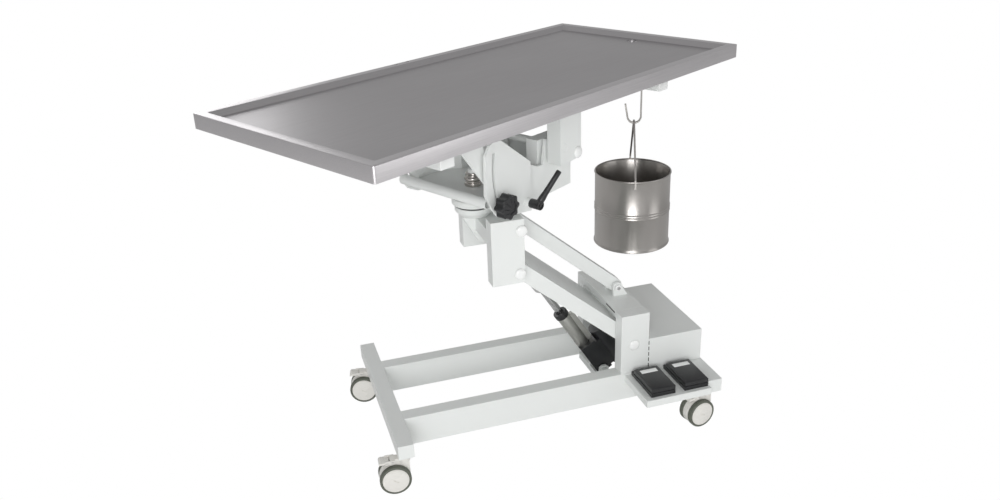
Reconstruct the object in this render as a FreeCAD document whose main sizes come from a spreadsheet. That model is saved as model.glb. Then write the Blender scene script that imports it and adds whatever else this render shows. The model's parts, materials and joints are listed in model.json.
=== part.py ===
import FreeCAD, Part
import os
import re
import Sketcher

# Electrically lifted operating table: a stainless tray on a tilting and swivelling head, a parallel arm
# and a frame on four braked casters.
# Lengths are in millimetres. X runs along the base rails, Y across them to the back, Z up from the floor.
# The origin is on the floor under the middle of the tray.

SIZES = {
    # Plan of the table at rest
    "table_turn": 29.8,
    "tray_offset": 91,
    # Fits
    "fit": 0.05,
    "gap": 0.3,
    "open_fit": 0.5,
    "side_gap": 2,
    # How far a cutting tool runs past a face
    "over": 1,
    # Base frame
    "tube_width": 40,
    "tube_wall": 2,
    "rail_height": 80,
    "rail_spacing": 268,
    "frame_top": 155,
    "crossbar_height": 38,
    "crossbar_length": 534,
    "base_length": 885,
    "column_lead": 207,
    "socket_wall": 4,
    # Column
    "upright_width": 81,
    "upright_lead": 37,
    "upright_top": 330,
    "column_pin_height": 240.4,
    "column_beam_height": 20,
    "pin_radius": 8,
    "cap_radius": 15,
    "cap_height": 7,
    # Parallel arm
    "arm_length": 413,
    "arm_rise": 40.1,
    "arm_depth": 40,
    "arm_bar_thick": 12,
    "arm_plate_thick": 4,
    "arm_plate_inset": 40,
    "link_shift": 6,
    "link_rise": 115,
    "link_depth": 36,
    "link_width": 36,
    "link_bolt_radius": 6,
    "lug_thick": 12,
    "lug_radius": 15,
    "lug_foot": 30,
    # Actuator
    "clevis_reach": 263.5,
    "clevis_drop": 22.6,
    "clevis_pin_radius": 6,
    "clevis_gap": 40,
    "clevis_thick": 8,
    "clevis_play": 1.5,
    "clevis_pin_head": 3,
    "foot_offset": 35,
    "foot_drop": 135.4,
    "foot_pin_radius": 8,
    "foot_pin_over": 3,
    "mount_bar_height": 20,
    "mount_bar_drop": 22,
    "mount_ear_thick": 8,
    "mount_ear_radius": 14,
    "gear_length": 95,
    "gear_width": 60,
    "gear_height": 45,
    "gear_drop": 18,
    "gear_heel": 12,
    "motor_radius": 25,
    "motor_offset": 58,
    "motor_length": 130,
    "motor_heel": 20,
    "outer_tube_length": 112,
    "outer_tube_radius": 18,
    "outer_tube_bore": 14,
    "collar_radius": 20,
    "collar_length": 17,
    "rod_radius": 10,
    "rod_length": 145,
    "rod_eye_radius": 20,
    "rod_eye_play": 3,
    "guide_bar_width": 14,
    "guide_bar_length": 105,
    # Head bracket and turntable
    "head_pin_offset": 68,
    "head_width": 85,
    "head_lead": 13,
    "head_height": 170,
    "head_drop": 24,
    "beam_rise": 116,
    "beam_width": 50,
    "beam_height": 40,
    "gusset_reach": 32,
    "gusset_into": 24,
    "gusset_drop": 78,
    "gusset_lip": 12,
    "gusset_width": 40,
    "turntable_height": 26,
    "turntable_foot_radius": 38,
    "turntable_radius": 50,
    "turntable_lip": 12,
    "seal_height": 5,
    "seal_radius": 48,
    "seal_bore": 18,
    "stud_radius": 12,
    "stud_height": 44,
    "disc_height": 38,
    "disc_rim_height": 18,
    "disc_radius": 57,
    "disc_hub_radius": 40,
    "disc_chamfer": 3,
    "disc_step": 4,
    "nut_radius": 22,
    "nut_length": 34,
    "nut_groove": 4,
    # Swivel frame
    "plate_thick": 9,
    "plate_left": 50,
    "plate_right": 235,
    "front_web_thick": 8,
    "front_web_height": 68,
    "bend_start": 40,
    "bend_end": 75,
    "side_inner": 149,
    "side_thick": 8,
    "side_joggle": 35,
    "side_rear": 117,
    "side_front": 240,
    "side_crest": 75,
    "side_foot": 134,
    "swivel_tube_offset": 102,
    "swivel_tube_radius": 13,
    "block_left": 124,
    "block_length": 90,
    "block_inner": 72,
    "block_thick": 36,
    "block_height": 104,
    "pin_rise": 88.6,
    "pin_offset": 157,
    "axle_radius": 10,
    "axle_play": 1.5,
    "axle_ear": 16,
    "slot_radius": 246.5,
    "slot_width": 9,
    "slot_low": 19.2,
    "slot_high": 10.8,
    "slot_spare": 1.4,
    "lever_offset": 25,
    "lever_drop": 106,
    "lever_arm": 96,
    "lever_lean": 38,
    "lever_hub": 28,
    "lever_hub_radius": 12,
    "lever_radius": 8.5,
    "lever_shaft_radius": 5,
    "lever_shaft_length": 34,
    "lever_boss_radius": 11,
    "lever_boss_length": 14,
    # Tilting frame
    "post_drop": 97,
    "post_width": 83,
    "post_edge": 16.5,
    "post_low": 44,
    "post_inner": 127,
    "post_thick": 43,
    "post_corner": 22,
    "stop_offset": 208,
    "stop_drop": 24,
    "long_inner": 129,
    "under_tube_width": 40,
    "under_tube_height": 60,
    "cross_left": 351,
    "cross_right": 432,
    "cross_reach": 256,
    "end_cap": 5,
    "tilt_arm_inner": 137,
    "tilt_arm_thick": 6,
    "tilt_arm_left": 174,
    "tilt_arm_right": 106,
    "tilt_arm_shoulder": 63,
    "bolt_radius": 4,
    "bolt_ear": 8,
    "bolt_head_radius": 7,
    "bolt_head_height": 4,
    "knob_radius": 32,
    "knob_thick": 26,
    "knob_standoff": 14,
    "knob_lobe": 8,
    "knob_neck_radius": 12,
    # Tray
    "tray_length": 1300,
    "tray_width": 616,
    "tray_skirt": 35,
    "tray_depth": 14,
    "tray_flange": 24,
    "tray_slope": 8,
    "sheet": 2,
    "drain_inset": 57,
    "drain_radius": 14,
    "drain_wall": 2,
    "drain_length": 40,
    # Hook and bucket
    "hook_wire": 2.5,
    "hook_tip": 42,
    "hook_overlap": 12,
    "hook_bar": 4,
    "hook_seat": 2,
    "hook_bend": 20,
    "hook_shift": 10.8,
    "hook_splay": 10,
    "wire_gap": 0.1,
    "hook_turn": -25.3,
    "bucket_turn": 68.4,
    "bucket_hang": 393,
    "bucket_radius": 118,
    "bucket_height": 233,
    "bucket_wall": 1.2,
    "bucket_inset": 2,
    "bucket_lip": 3,
    "bucket_roll": 1,
    "bucket_base": 4,
    "bead": 3,
    "bead_rise": 110,
    "bead_pitch": 8,
    "ear_radius": 7,
    "ear_drop": 14,
    "ear_length": 5.5,
    "ear_stand": 2.6,
    "ear_hole": 3,
    "bail_rise": 154,
    "bail_width": 5.5,
    "bail_thick": 3,
    "bail_gap": 4,
    "bail_foot": 6,
    "bail_knee": 20,
    "bail_seat": 6,
    "bail_pin_radius": 2.5,
    "bail_pin_length": 8,
    # Control box, shelf and pedals
    "box_length": 160,
    "box_height": 94,
    "box_wall": 1.5,
    "shelf_left": 23,
    "shelf_length": 188,
    "shelf_depth": 138,
    "shelf_height": 20,
    "shelf_drop": 5,
    "pedal_width": 69,
    "pedal_length": 122,
    "pedal_base_height": 11,
    "pedal_lid_height": 8,
    "pedal_pitch": 96,
    "pedal_inset": 18,
    "pedal_back": 4,
    "pedal_wall": 7,
    "pedal_floor": 3,
    "pedal_rear": 34,
    "treadle_pin": 2,
    "treadle_rise": 4,
    "treadle_setback": 18,
    "treadle_ear": 4,
    "treadle_ear_length": 14,
    "treadle_ear_height": 9,
    "treadle_side": 8,
    "treadle_front": 4,
    "treadle_lift": 3,
    "heel_height": 6,
    "strip_side": 13,
    "strip_length": 20,
    "strip_height": 0.8,
    "strip_setback": 50,
    # Casters
    "caster_inset": 47,
    "caster_trail": 26,
    "wheel_radius": 40,
    "wheel_width": 15,
    "wheel_gap": 22,
    "tyre_depth": 7,
    "axle_pin": 4,
    "stem_radius": 8,
    "stem_length": 24,
    "flange_radius": 18,
    "flange_height": 6,
    "neck_radius": 16,
    "neck_low": 84,
    "web_reach": 13,
    "housing_gap": 1,
    "housing_lift": 6,
    "brake_pin": 3,
    "brake_offset": 30,
    "brake_height": 88,
    "brake_start": 38,
    "brake_reach": 64,
    "brake_width": 30,
    "brake_thick": 6,
    "brake_ear": 6,
    "cheek_length": 24,
    "cheek_height": 10,
    "cheek_thick": 4,
}

# Directions in which the four casters trail at rest, in degrees about Z
CASTERS = {
    "near_left": (-1, -1, 175),
    "far_left": (-1, 1, 167),
    "near_right": (1, -1, 189),
    "far_right": (1, 1, 180),
}

doc = FreeCAD.newDocument("operating_table")
sheet = doc.addObject("Spreadsheet::Sheet", "Sizes")
for row, (alias, value) in enumerate(SIZES.items(), 1):
    sheet.set("A%d" % row, alias)
    sheet.set("B%d" % row, str(value))
    sheet.setAlias("B%d" % row, alias)
doc.recompute()

parts = []

# Reference points at rest, as expressions of the sheet's sizes
AXIS_X = "(-tray_offset * cos(table_turn))"
AXIS_Y = "(-tray_offset * sin(table_turn))"
HEAD_X = AXIS_X + " + head_pin_offset"
HEAD_Z = "(column_pin_height + arm_length * sin(arm_rise))"
PIVOT_X = HEAD_X + " + arm_length * cos(arm_rise)"
PIVOT_Z = "column_pin_height"
BASE_X = PIVOT_X + " + column_lead - base_length"
HEAD_PINS = ((HEAD_X, HEAD_Z), (HEAD_X + " + link_shift", HEAD_Z + " + link_rise"))
RAIL_OUT = "(rail_spacing / 2 + tube_width / 2)"
RAIL_IN = "(rail_spacing / 2 - tube_width / 2)"
STUB = "tube_width + side_gap + arm_bar_thick"
BEAM_Z = HEAD_Z + " + beam_rise"
TURN_Z = BEAM_Z + " + turntable_height"
DISC_Z = TURN_Z + " + seal_height"
PLATE_Z = DISC_Z + " + disc_height"
TOP_Z = PLATE_Z + " + plate_thick"
PIN_Z = TOP_Z + " + pin_rise"
UNDER_Z = PIN_Z + " + post_drop"
FLOOR_Z = UNDER_Z + " + under_tube_height"
RIM_Z = FLOOR_Z + " + sheet + tray_depth"
BOLT_X = "(pin_offset - slot_radius * cos(slot_low))"
BOLT_Z = "(" + PIN_Z + " - slot_radius * sin(slot_low))"
DRAIN_T = "(tray_offset + tray_length / 2 - drain_inset)"
DRAIN_X = "(" + AXIS_X + " + " + DRAIN_T + " * cos(table_turn))"
DRAIN_Y = "(" + AXIS_Y + " + " + DRAIN_T + " * sin(table_turn))"
BUCKET_Z = "(" + FLOOR_Z + " - bucket_hang)"
EAR_Z = "(" + BUCKET_Z + " - ear_drop)"
HOOK_Z = "(" + BUCKET_Z + " + bail_rise - hook_wire - hook_seat)"
SHELF_X = PIVOT_X + " - shelf_left - side_gap"
CHEEK_X = HEAD_X + " + head_lead - head_width"
CROSS_TUBES = ("-cross_left", "cross_right")
PIPE_SIDE = "(drain_radius + drain_wall - hook_shift)"
LEVER_Z = PIN_Z + " - lever_drop"
LEVER_FACE = "(side_inner + side_thick + lever_boss_length)"
SIDE_STEP = "(side_inner - side_joggle)"
SPAN_X = "(foot_offset - clevis_reach * cos(arm_rise) - clevis_drop * sin(arm_rise))"
SPAN_Z = "(foot_drop + clevis_reach * sin(arm_rise) - clevis_drop * cos(arm_rise))"
ACTUATOR_ANGLE = "atan2(" + SPAN_Z + "; -" + SPAN_X + ")"
ACTUATOR_LENGTH = "sqrt(" + SPAN_X + " ^ 2 + " + SPAN_Z + " ^ 2)"

SPINDLE = (AXIS_X, AXIS_Y, "0")

# Frames: origin, turning axis and angle
WORLD = ("0", "0", "0", "z", "0")
TABLE = (AXIS_X, AXIS_Y, "0", "z", "table_turn")
ARM = (PIVOT_X, AXIS_Y, PIVOT_Z, "y", "arm_rise")
LINK = (PIVOT_X + " + link_shift", AXIS_Y, PIVOT_Z + " + link_rise", "y", "arm_rise")
HANG = (DRAIN_X + " + hook_shift * cos(hook_turn)", DRAIN_Y + " + hook_shift * sin(hook_turn)", "0")
HOOK = HANG + ("z", "hook_turn")
BUCKET = HANG + ("z", "bucket_turn")
ACTUATOR = (PIVOT_X + " - foot_offset", AXIS_Y, PIVOT_Z + " - foot_drop", "y", ACTUATOR_ANGLE)

AXES = {"x": FreeCAD.Vector(1, 0, 0), "y": FreeCAD.Vector(0, 1, 0), "z": FreeCAD.Vector(0, 0, 1)}
LIE = {
    "x": FreeCAD.Rotation(AXES["y"], 90),
    "y": FreeCAD.Rotation(AXES["x"], -90),
    "z": FreeCAD.Rotation(),
}


def refer(text):
    """The expression with every size's name replaced by its cell."""
    return re.sub(r"[a-z_]+", lambda word: "Sizes." + word.group() if word.group() in SIZES else word.group(),
                  str(text))


def value(text):
    """The number that an expression gives now."""
    found = sheet.evalExpression(refer(text))
    return float(getattr(found, "Value", found))


def bind(item, **rules):
    """Bind an object's properties to expressions."""
    for name, rule in rules.items():
        item.setExpression(name, refer(rule))
    return item


def put(item, x, y, z):
    """Bind an object's position to three expressions."""
    for name, rule in (("x", x), ("y", y), ("z", z)):
        item.setExpression("Placement.Base." + name, refer(rule))
    return item


def finish(item, label, frame=WORLD):
    """Place a finished sub-part in its frame and list it for export."""
    x, y, z, axis, angle = frame
    if frame is not WORLD:
        item = group(item)
        item.Placement = FreeCAD.Placement(FreeCAD.Vector(), FreeCAD.Rotation(AXES[axis], 1))
        item.setExpression("Placement.Rotation.Angle", refer(angle))
        put(item, x, y, z)
    item.Label = label
    parts.append(item)
    return item


def block(size, at):
    """A box with its low corner at a point."""
    item = doc.addObject("Part::Box", "Block")
    bind(item, Length=size[0], Width=size[1], Height=size[2])
    return put(item, *at)


def rod(radius, length, at, axis="y"):
    """A cylinder that starts at a point and runs along +X, +Y or +Z."""
    item = doc.addObject("Part::Cylinder", "Rod")
    item.Placement = FreeCAD.Placement(FreeCAD.Vector(), LIE[axis])
    bind(item, Radius=radius, Height=length)
    return put(item, *at)


def common(first, second):
    """What two solids share."""
    item = doc.addObject("Part::MultiCommon", "Shared")
    item.Shapes = [first, second]
    return item


def cone(radius_1, radius_2, length, at, axis="y"):
    """A cone between two radii that starts at a point and runs along +X, +Y or +Z."""
    item = doc.addObject("Part::Cone", "Cone")
    item.Placement = FreeCAD.Placement(FreeCAD.Vector(), LIE[axis])
    bind(item, Radius1=radius_1, Radius2=radius_2, Height=length)
    return put(item, *at)


def fuse(*items):
    """One solid of several that touch."""
    if len(items) == 1:
        return items[0]
    item = doc.addObject("Part::MultiFuse", "Union")
    item.Shapes = list(items)
    item.Refine = True
    return item


def cut(base, *tools):
    """What is left of a solid after the tools are taken out."""
    item = doc.addObject("Part::Cut", "Difference")
    item.Base = base
    item.Tool = fuse(*tools)
    return item


def group(*items):
    """Several solids that make one sub-part."""
    item = doc.addObject("Part::Compound", "Group")
    item.Links = list(items)
    return item


def origin_feature(body, role):
    """One of a body's own origin planes or axes."""
    return [item for item in body.Origin.OriginFeatures if item.Role == role][0]


def outline(body, plane, points, lift="0"):
    """A closed sketch on one of the body's planes, each corner bound to two expressions."""
    sketch = body.newObject("Sketcher::SketchObject", "Outline")
    sketch.AttachmentSupport = [(origin_feature(body, plane), "")]
    sketch.MapMode = "FlatFace"
    sketch.setExpression("AttachmentOffset.Base.z", refer(lift))
    corners = [FreeCAD.Vector(value(x), value(y), 0) for x, y in points]
    for start, end in zip(corners, corners[1:] + corners[:1]):
        sketch.addGeometry(Part.LineSegment(start, end))
    for number, (x, y) in enumerate(points):
        after = (number + 1) % len(points)
        sketch.addConstraint(Sketcher.Constraint("Coincident", number, 2, after, 1))
        for kind, rule, now in (("DistanceX", x, corners[number].x), ("DistanceY", y, corners[number].y)):
            index = sketch.addConstraint(Sketcher.Constraint(kind, number, 1, now))
            sketch.setExpression("Constraints[%d]" % index, refer(rule))
    return sketch


def slab(points, near, far):
    """A plate with its outline in X and Z, from y = near to y = far."""
    body = doc.addObject("PartDesign::Body", "Slab")
    sketch = outline(body, "XZ_Plane", points, "-(" + far + ")")
    pad = body.newObject("PartDesign::Pad", "Pad")
    pad.Profile = sketch
    bind(pad, Length="(" + far + ") - (" + near + ")")
    return body


def plan(points, low, high):
    """A plate with its outline in X and Y, from z = low to z = high."""
    body = doc.addObject("PartDesign::Body", "Plan")
    sketch = outline(body, "XY_Plane", points, low)
    pad = body.newObject("PartDesign::Pad", "Pad")
    pad.Profile = sketch
    bind(pad, Length="(" + high + ") - (" + low + ")")
    return body


def turned(points, at, axis="z"):
    """A solid of revolution: radius and height pairs, turned about Z or Y through a point."""
    body = doc.addObject("PartDesign::Body", "Turned")
    plane, spin = {"z": ("XZ_Plane", "Z_Axis"), "y": ("XY_Plane", "Y_Axis")}[axis]
    sketch = outline(body, plane, points)
    lathe = body.newObject("PartDesign::Revolution", "Revolution")
    lathe.Profile = sketch
    lathe.ReferenceAxis = (origin_feature(body, spin), [""])
    lathe.Angle = 360
    return put(body, *at)


def tube(size, at, axis, closed=""):
    """A rectangular tube along an axis; closed names the ends that have a wall: low, high or both."""
    wall = {"x": 0, "y": 1, "z": 2}[axis]
    inner = []
    start = []
    for side in range(3):
        low = "tube_wall" if side != wall or closed in ("low", "both") else "-over"
        high = "tube_wall" if side != wall or closed in ("high", "both") else "-over"
        inner.append("%s - (%s) - (%s)" % (size[side], low, high))
        start.append("%s + (%s)" % (at[side], low))
    return cut(block(size, at), block(inner, start))


def pin(length, at, facing):
    """A pivot pin along Y with a domed cap; facing is the side of the cap, -1 near and 1 far."""
    side = "-" if facing < 0 else ""
    into = "" if facing < 0 else "-"
    profile = [("0", into + "(" + length + ")"), ("pin_radius", into + "(" + length + ")"),
               ("pin_radius", "0"), ("cap_radius", "0"), ("cap_radius", side + "cap_height * 0.3"),
               ("cap_radius * 0.9", side + "cap_height * 0.62"),
               ("cap_radius * 0.66", side + "cap_height * 0.86"),
               ("cap_radius * 0.36", side + "cap_height * 0.97"), ("0", side + "cap_height")]
    return turned(profile, at, "y")


def mirrored(make):
    """The same piece on the near side (-1) and the far side (1)."""
    return [make(-1), make(1)]


def span(side, inner, outer):
    """The lower end in Y of a piece that lies between two distances from the middle."""
    return "-(" + outer + ")" if side < 0 else "(" + inner + ")"


def past(side, distance):
    """A distance from the middle on the near side (-1) or the far side (1)."""
    return " + (%d) * (%s)" % (side, distance)


# Base frame

def crossbars():
    for label, shift in (("crossbar_left", "0"), ("crossbar_right", "base_length - tube_width")):
        size = ("tube_width", "crossbar_length", "crossbar_height")
        at = (BASE_X + " + " + shift, AXIS_Y + " - crossbar_length / 2", "frame_top - crossbar_height")
        centre = at[0] + " + tube_width / 2"
        sockets = []
        bores = []
        for side in (-1, 1):
            y = AXIS_Y + past(side, "crossbar_length / 2 - caster_inset")
            sockets.append(rod("stem_radius + socket_wall", "stem_length", (centre, y, at[2]), "z"))
            bores.append(rod("stem_radius + fit", "stem_length", (centre, y, at[2] + " - gap"), "z"))
        finish(cut(fuse(tube(size, at, "y", "both"), *sockets), *bores), label)


def rails():
    for label, side in (("rail_near", -1), ("rail_far", 1)):
        size = ("base_length - 2 * tube_width", "tube_width", "rail_height")
        at = (BASE_X + " + tube_width", AXIS_Y + " + " + span(side, RAIL_IN, RAIL_OUT),
              "frame_top - rail_height")
        finish(tube(size, at, "x", "both"), label)


def uprights():
    for label, side in (("upright_near", -1), ("upright_far", 1)):
        size = ("upright_width", "tube_width", "upright_top - frame_top")
        at = (PIVOT_X + " - upright_lead", AXIS_Y + " + " + span(side, RAIL_IN, RAIL_OUT), "frame_top")
        boss = rod("cap_radius", "tube_width", (PIVOT_X, at[1], PIVOT_Z))
        bore = rod("pin_radius + fit", "tube_width + 2 * over", (PIVOT_X, at[1] + " - over", PIVOT_Z))
        finish(cut(fuse(tube(size, at, "z", "both"), boss), bore), label)


def column_beam():
    size = ("upright_width", "2 * " + RAIL_IN, "column_beam_height")
    at = (PIVOT_X + " - upright_lead", AXIS_Y + " - " + RAIL_IN, "upright_top - column_beam_height")
    finish(tube(size, at, "y"), "column_beam")


def link_lugs():
    """Two plates on the column that hold the upper link's lower bolt."""
    x, z = PIVOT_X + " + link_shift", "(" + PIVOT_Z + " + link_rise)"
    points = [(x + " - 0.4 * lug_foot", "upright_top"), (x + " + lug_foot", "upright_top")]
    for turn in range(-10, 201, 30):
        points.append((x + " + lug_radius * cos(%d)" % turn, z + " + lug_radius * sin(%d)" % turn))

    def lug(side):
        inner = "link_width / 2 + side_gap"
        near = AXIS_Y + " + " + span(side, inner, inner + " + lug_thick")
        return slab(points, near, near + " + lug_thick")
    bore = rod("link_bolt_radius + fit", "2 * " + RAIL_IN, (x, AXIS_Y + " - " + RAIL_IN, z))
    finish(cut(group(*mirrored(lug)), bore), "link_lugs")


def column_pins():
    def end(side):
        return pin(STUB, (PIVOT_X, AXIS_Y + past(side, RAIL_OUT), PIVOT_Z), side)
    bolt = link_bolt(PIVOT_X + " + link_shift", PIVOT_Z + " + link_rise")
    finish(group(*mirrored(end), bolt), "column_pins")


def link_bolt(x, z):
    """The bolt through the lugs, with a head at each end."""
    reach = "(link_width / 2 + side_gap + lug_thick)"
    shank = rod("link_bolt_radius", "2 * " + reach, (x, AXIS_Y + " - " + reach, z))
    heads = [rod("link_bolt_radius * 1.6", "link_bolt_radius", (x, AXIS_Y + start, z))
             for start in (" - " + reach + " - link_bolt_radius", " + " + reach)]
    return fuse(shank, *heads)


def actuator_mount():
    """A bar between the uprights with two ears for the actuator's foot."""
    x, z = PIVOT_X + " - foot_offset", "(" + PIVOT_Z + " - foot_drop)"
    low = z + " - mount_bar_drop - mount_bar_height"
    bar = block(("2 * mount_ear_radius", "2 * " + RAIL_IN, "mount_bar_height"),
                (x + " - mount_ear_radius", AXIS_Y + " - " + RAIL_IN, low))
    reach = "(gear_width / 2 + side_gap + mount_ear_thick + foot_pin_over)"
    at = (x, AXIS_Y + " - " + reach, z)
    points = []
    for across, up in ((-1, "-mount_bar_drop"), (1, "-mount_bar_drop"),
                       (1, "0.57 * mount_ear_radius"), (0.43, "mount_ear_radius"),
                       (-0.43, "mount_ear_radius"), (-1, "0.57 * mount_ear_radius")):
        points.append((x + " + (%g) * mount_ear_radius" % across, z + " + (" + up + ")"))

    def ear(side):
        inner = "gear_width / 2 + side_gap"
        near = AXIS_Y + " + " + span(side, inner, inner + " + mount_ear_thick")
        plate = slab(points, near, near + " + mount_ear_thick")
        return cut(plate, rod("foot_pin_radius", "2 * " + reach, at))
    finish(group(bar, rod("foot_pin_radius", "2 * " + reach, at), *mirrored(ear)), "actuator_mount")


def control_box():
    size = ("box_length", "2 * " + RAIL_OUT, "box_height")
    at = (PIVOT_X + " - upright_lead + upright_width", AXIS_Y + " - " + RAIL_OUT, "frame_top")
    inside = block([side + " - 2 * box_wall" for side in size], [start + " + box_wall" for start in at])
    finish(cut(block(size, at), inside), "control_box")


def pedal_shelf():
    size = ("shelf_length", "shelf_depth", "shelf_height")
    at = (SHELF_X, AXIS_Y + " - " + RAIL_OUT + " - shelf_depth", "frame_top - shelf_drop - shelf_height")
    inside = block([side + " - 2 * tube_wall" for side in size], [start + " + tube_wall" for start in at])
    finish(cut(block(size, at), inside), "pedal_shelf")


# Foot pedals

def pedal_base(label, x, y, z, rear):
    base = block(("pedal_width", "pedal_length", "pedal_base_height"), (x, y, z))
    recess = block(("pedal_width - 2 * pedal_wall", "pedal_length - pedal_floor - pedal_rear - pedal_floor",
                    "pedal_base_height"), (x + " + pedal_wall", y + " + pedal_floor", z + " + pedal_floor"))
    ears = [block(("treadle_ear", "treadle_ear_length", "treadle_ear_height"),
                  (x + " + " + shift, rear + " - treadle_ear_length / 2", z + " + pedal_base_height"))
            for shift in ("pedal_floor", "pedal_width - pedal_floor - treadle_ear")]
    hinge = rod("treadle_pin", "pedal_width - 2 * pedal_floor",
                (x + " + pedal_floor", rear, z + " + pedal_base_height + treadle_rise"), "x")
    finish(fuse(cut(base, recess), hinge, *ears), "pedal_base_" + label)


def pedal_treadle(label, x, y, z, rear):
    """The lid that is pressed, with a heel round the hinge pin and a bare strip on top."""
    wide = "pedal_width - 2 * treadle_side"
    top = z + " + pedal_base_height + treadle_lift + pedal_lid_height"
    lid = block((wide, "pedal_length - 30", "pedal_lid_height"),
                (x + " + treadle_side", y + " + treadle_front", z + " + pedal_base_height + treadle_lift"))
    heel = block((wide, "treadle_setback", "heel_height"),
                 (x + " + treadle_side", rear + " - treadle_setback / 2", z + " + pedal_base_height + over"))
    strip = block(("pedal_width - 2 * strip_side", "strip_length", "strip_height"),
                  (x + " + strip_side", y + " + pedal_length - strip_setback", top))
    bore = rod("treadle_pin + fit", "pedal_width", (x, rear, z + " + pedal_base_height + treadle_rise"), "x")
    finish(cut(fuse(lid, heel, strip), bore), "pedal_treadle_" + label)


def pedals():
    z = "(frame_top - shelf_drop)"
    y = AXIS_Y + " - " + RAIL_OUT + " - pedal_back - pedal_length"
    rear = y + " + pedal_length - treadle_setback"
    for label, shift in (("left", "0"), ("right", "pedal_pitch")):
        x = "(" + SHELF_X + " + pedal_inset + " + shift + ")"
        pedal_base(label, x, y, z, rear)
        pedal_treadle(label, x, y, z, rear)


# Casters

def caster_frame(side_x, side_y, turn):
    x = BASE_X + (" + tube_width / 2" if side_x < 0 else " + base_length - tube_width / 2")
    y = AXIS_Y + past(side_y, "crossbar_length / 2 - caster_inset")
    return (x, y, "0", "z", str(turn))


def caster_fork(label, frame):
    """A round housing between the wheels, with a neck, a flange and the stem; it trails towards +X."""
    under = "(frame_top - crossbar_height - gap)"
    half = "(wheel_gap / 2 - housing_gap)"
    middle = ("caster_trail", "-" + half, "wheel_radius")
    housing = cut(rod("wheel_radius - housing_gap", "2 * " + half, middle),
                  block(("2 * wheel_radius", "wheel_gap", "2 * housing_lift"),
                        ("caster_trail - wheel_radius", "-wheel_gap / 2", "-housing_lift")))
    web_height = "brake_height + brake_ear - wheel_radius"
    web = block(("web_reach + brake_offset + brake_ear", "2 * " + half, web_height),
                ("-web_reach", "-" + half, "wheel_radius"))
    neck = rod("neck_radius", under + " - neck_low", ("0", "0", "neck_low"), "z")
    flange = rod("flange_radius", "flange_height", ("0", "0", under + " - flange_height"), "z")
    stem = rod("stem_radius", "stem_length - 2 * gap", ("0", "0", under), "z")
    bores = [rod("axle_pin + fit", "wheel_gap", ("caster_trail", "-wheel_gap / 2", "wheel_radius")),
             rod("brake_pin + fit", "wheel_gap", ("brake_offset", "-wheel_gap / 2", "brake_height"))]
    finish(cut(fuse(housing, web, neck, flange, stem), *bores), "caster_fork_" + label, frame)


def caster_wheels(label, frame):
    """Two wheels on one axle, each a hub disc in a tyre."""
    hub = "(wheel_radius - tyre_depth)"
    hubs = []
    tyres = []
    for start in ("(-wheel_gap / 2 - wheel_width)", "(wheel_gap / 2)"):
        at = ("caster_trail", start, "wheel_radius")
        through = ("caster_trail", start + " - over", "wheel_radius")
        hubs.append(rod(hub, "wheel_width", at))
        tyres.append(cut(rod("wheel_radius", "wheel_width", at), rod(hub, "wheel_width + 2 * over", through)))
    axle = rod("axle_pin", "wheel_gap + 2 * wheel_width",
               ("caster_trail", "-wheel_gap / 2 - wheel_width", "wheel_radius"))
    finish(group(fuse(axle, *hubs), *tyres), "caster_wheels_" + label, frame)


def caster_brake(label, frame):
    """The foot pedal over the wheels, hinged on a pin through the housing's ear."""
    low = "brake_height - brake_thick / 2"
    plate = block(("brake_reach", "brake_width", "brake_thick"), ("brake_start", "-brake_width / 2", low))
    pad = common(plate, rod("brake_reach", "brake_thick + 2 * over", ("0", "0", low + " - over"), "z"))
    cheeks = [block(("cheek_length", "cheek_thick", "cheek_height"),
                    ("brake_offset - brake_ear", y, "brake_height - cheek_height / 2"))
              for y in ("-brake_width / 2", "brake_width / 2 - cheek_thick")]
    shaft = rod("brake_pin", "brake_width", ("brake_offset", "-brake_width / 2", "brake_height"))
    finish(fuse(pad, shaft, *cheeks), "caster_brake_" + label, frame)


def casters():
    for label, (side_x, side_y, turn) in CASTERS.items():
        frame = caster_frame(side_x, side_y, turn)
        caster_fork(label, frame)
        caster_wheels(label, frame)
        caster_brake(label, frame)


# Parallel arm; at no rise it points along -X from its pivot at the origin

def rounded(length, radius):
    """The outline of a bar with round ends over two pivots."""
    points = []
    for centre, first in (("0", -90), ("-" + length, 90)):
        for step in range(9):
            turn = first + step * 22.5
            points.append((centre + " + " + radius + " * cos(%g)" % turn, radius + " * sin(%g)" % turn))
    return points


def lower_arm():
    """Two bars and a cover plate, with two ears under the plate for the actuator's rod."""
    half = "(" + RAIL_IN + " - side_gap)"
    top = "arm_depth / 2"

    def bar(side):
        near = span(side, half + " - arm_bar_thick", half)
        return slab(rounded("arm_length", "(arm_depth / 2)"), near, near + " + arm_bar_thick")

    def ear(side):
        near = span(side, "clevis_gap / 2", "clevis_gap / 2 + clevis_thick")
        points = []
        for across, up in ((-26, top + " - 2"), (-13, "2 - clevis_drop"), (-6, "-10 - clevis_drop"),
                           (6, "-10 - clevis_drop"), (13, "2 - clevis_drop"), (26, top + " - 2")):
            points.append(("%d * clevis_pin_radius / 6 - clevis_reach" % across, up))
        return slab(points, near, near + " + clevis_thick")
    plate = block(("arm_length - 2 * arm_plate_inset", "2 * " + half, "arm_plate_thick"),
                  ("arm_plate_inset - arm_length", "-" + half, top + " - arm_plate_thick"))
    bores = [rod("pin_radius + fit", "2 * " + RAIL_IN, (x, "-" + RAIL_IN, "0")) for x in ("0", "-arm_length")]
    bores.append(rod("clevis_pin_radius + clevis_play", "2 * clevis_gap",
                     ("-clevis_reach", "-clevis_gap", "-clevis_drop")))
    finish(cut(fuse(plate, *mirrored(bar), *mirrored(ear)), *bores), "lower_arm", ARM)


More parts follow.
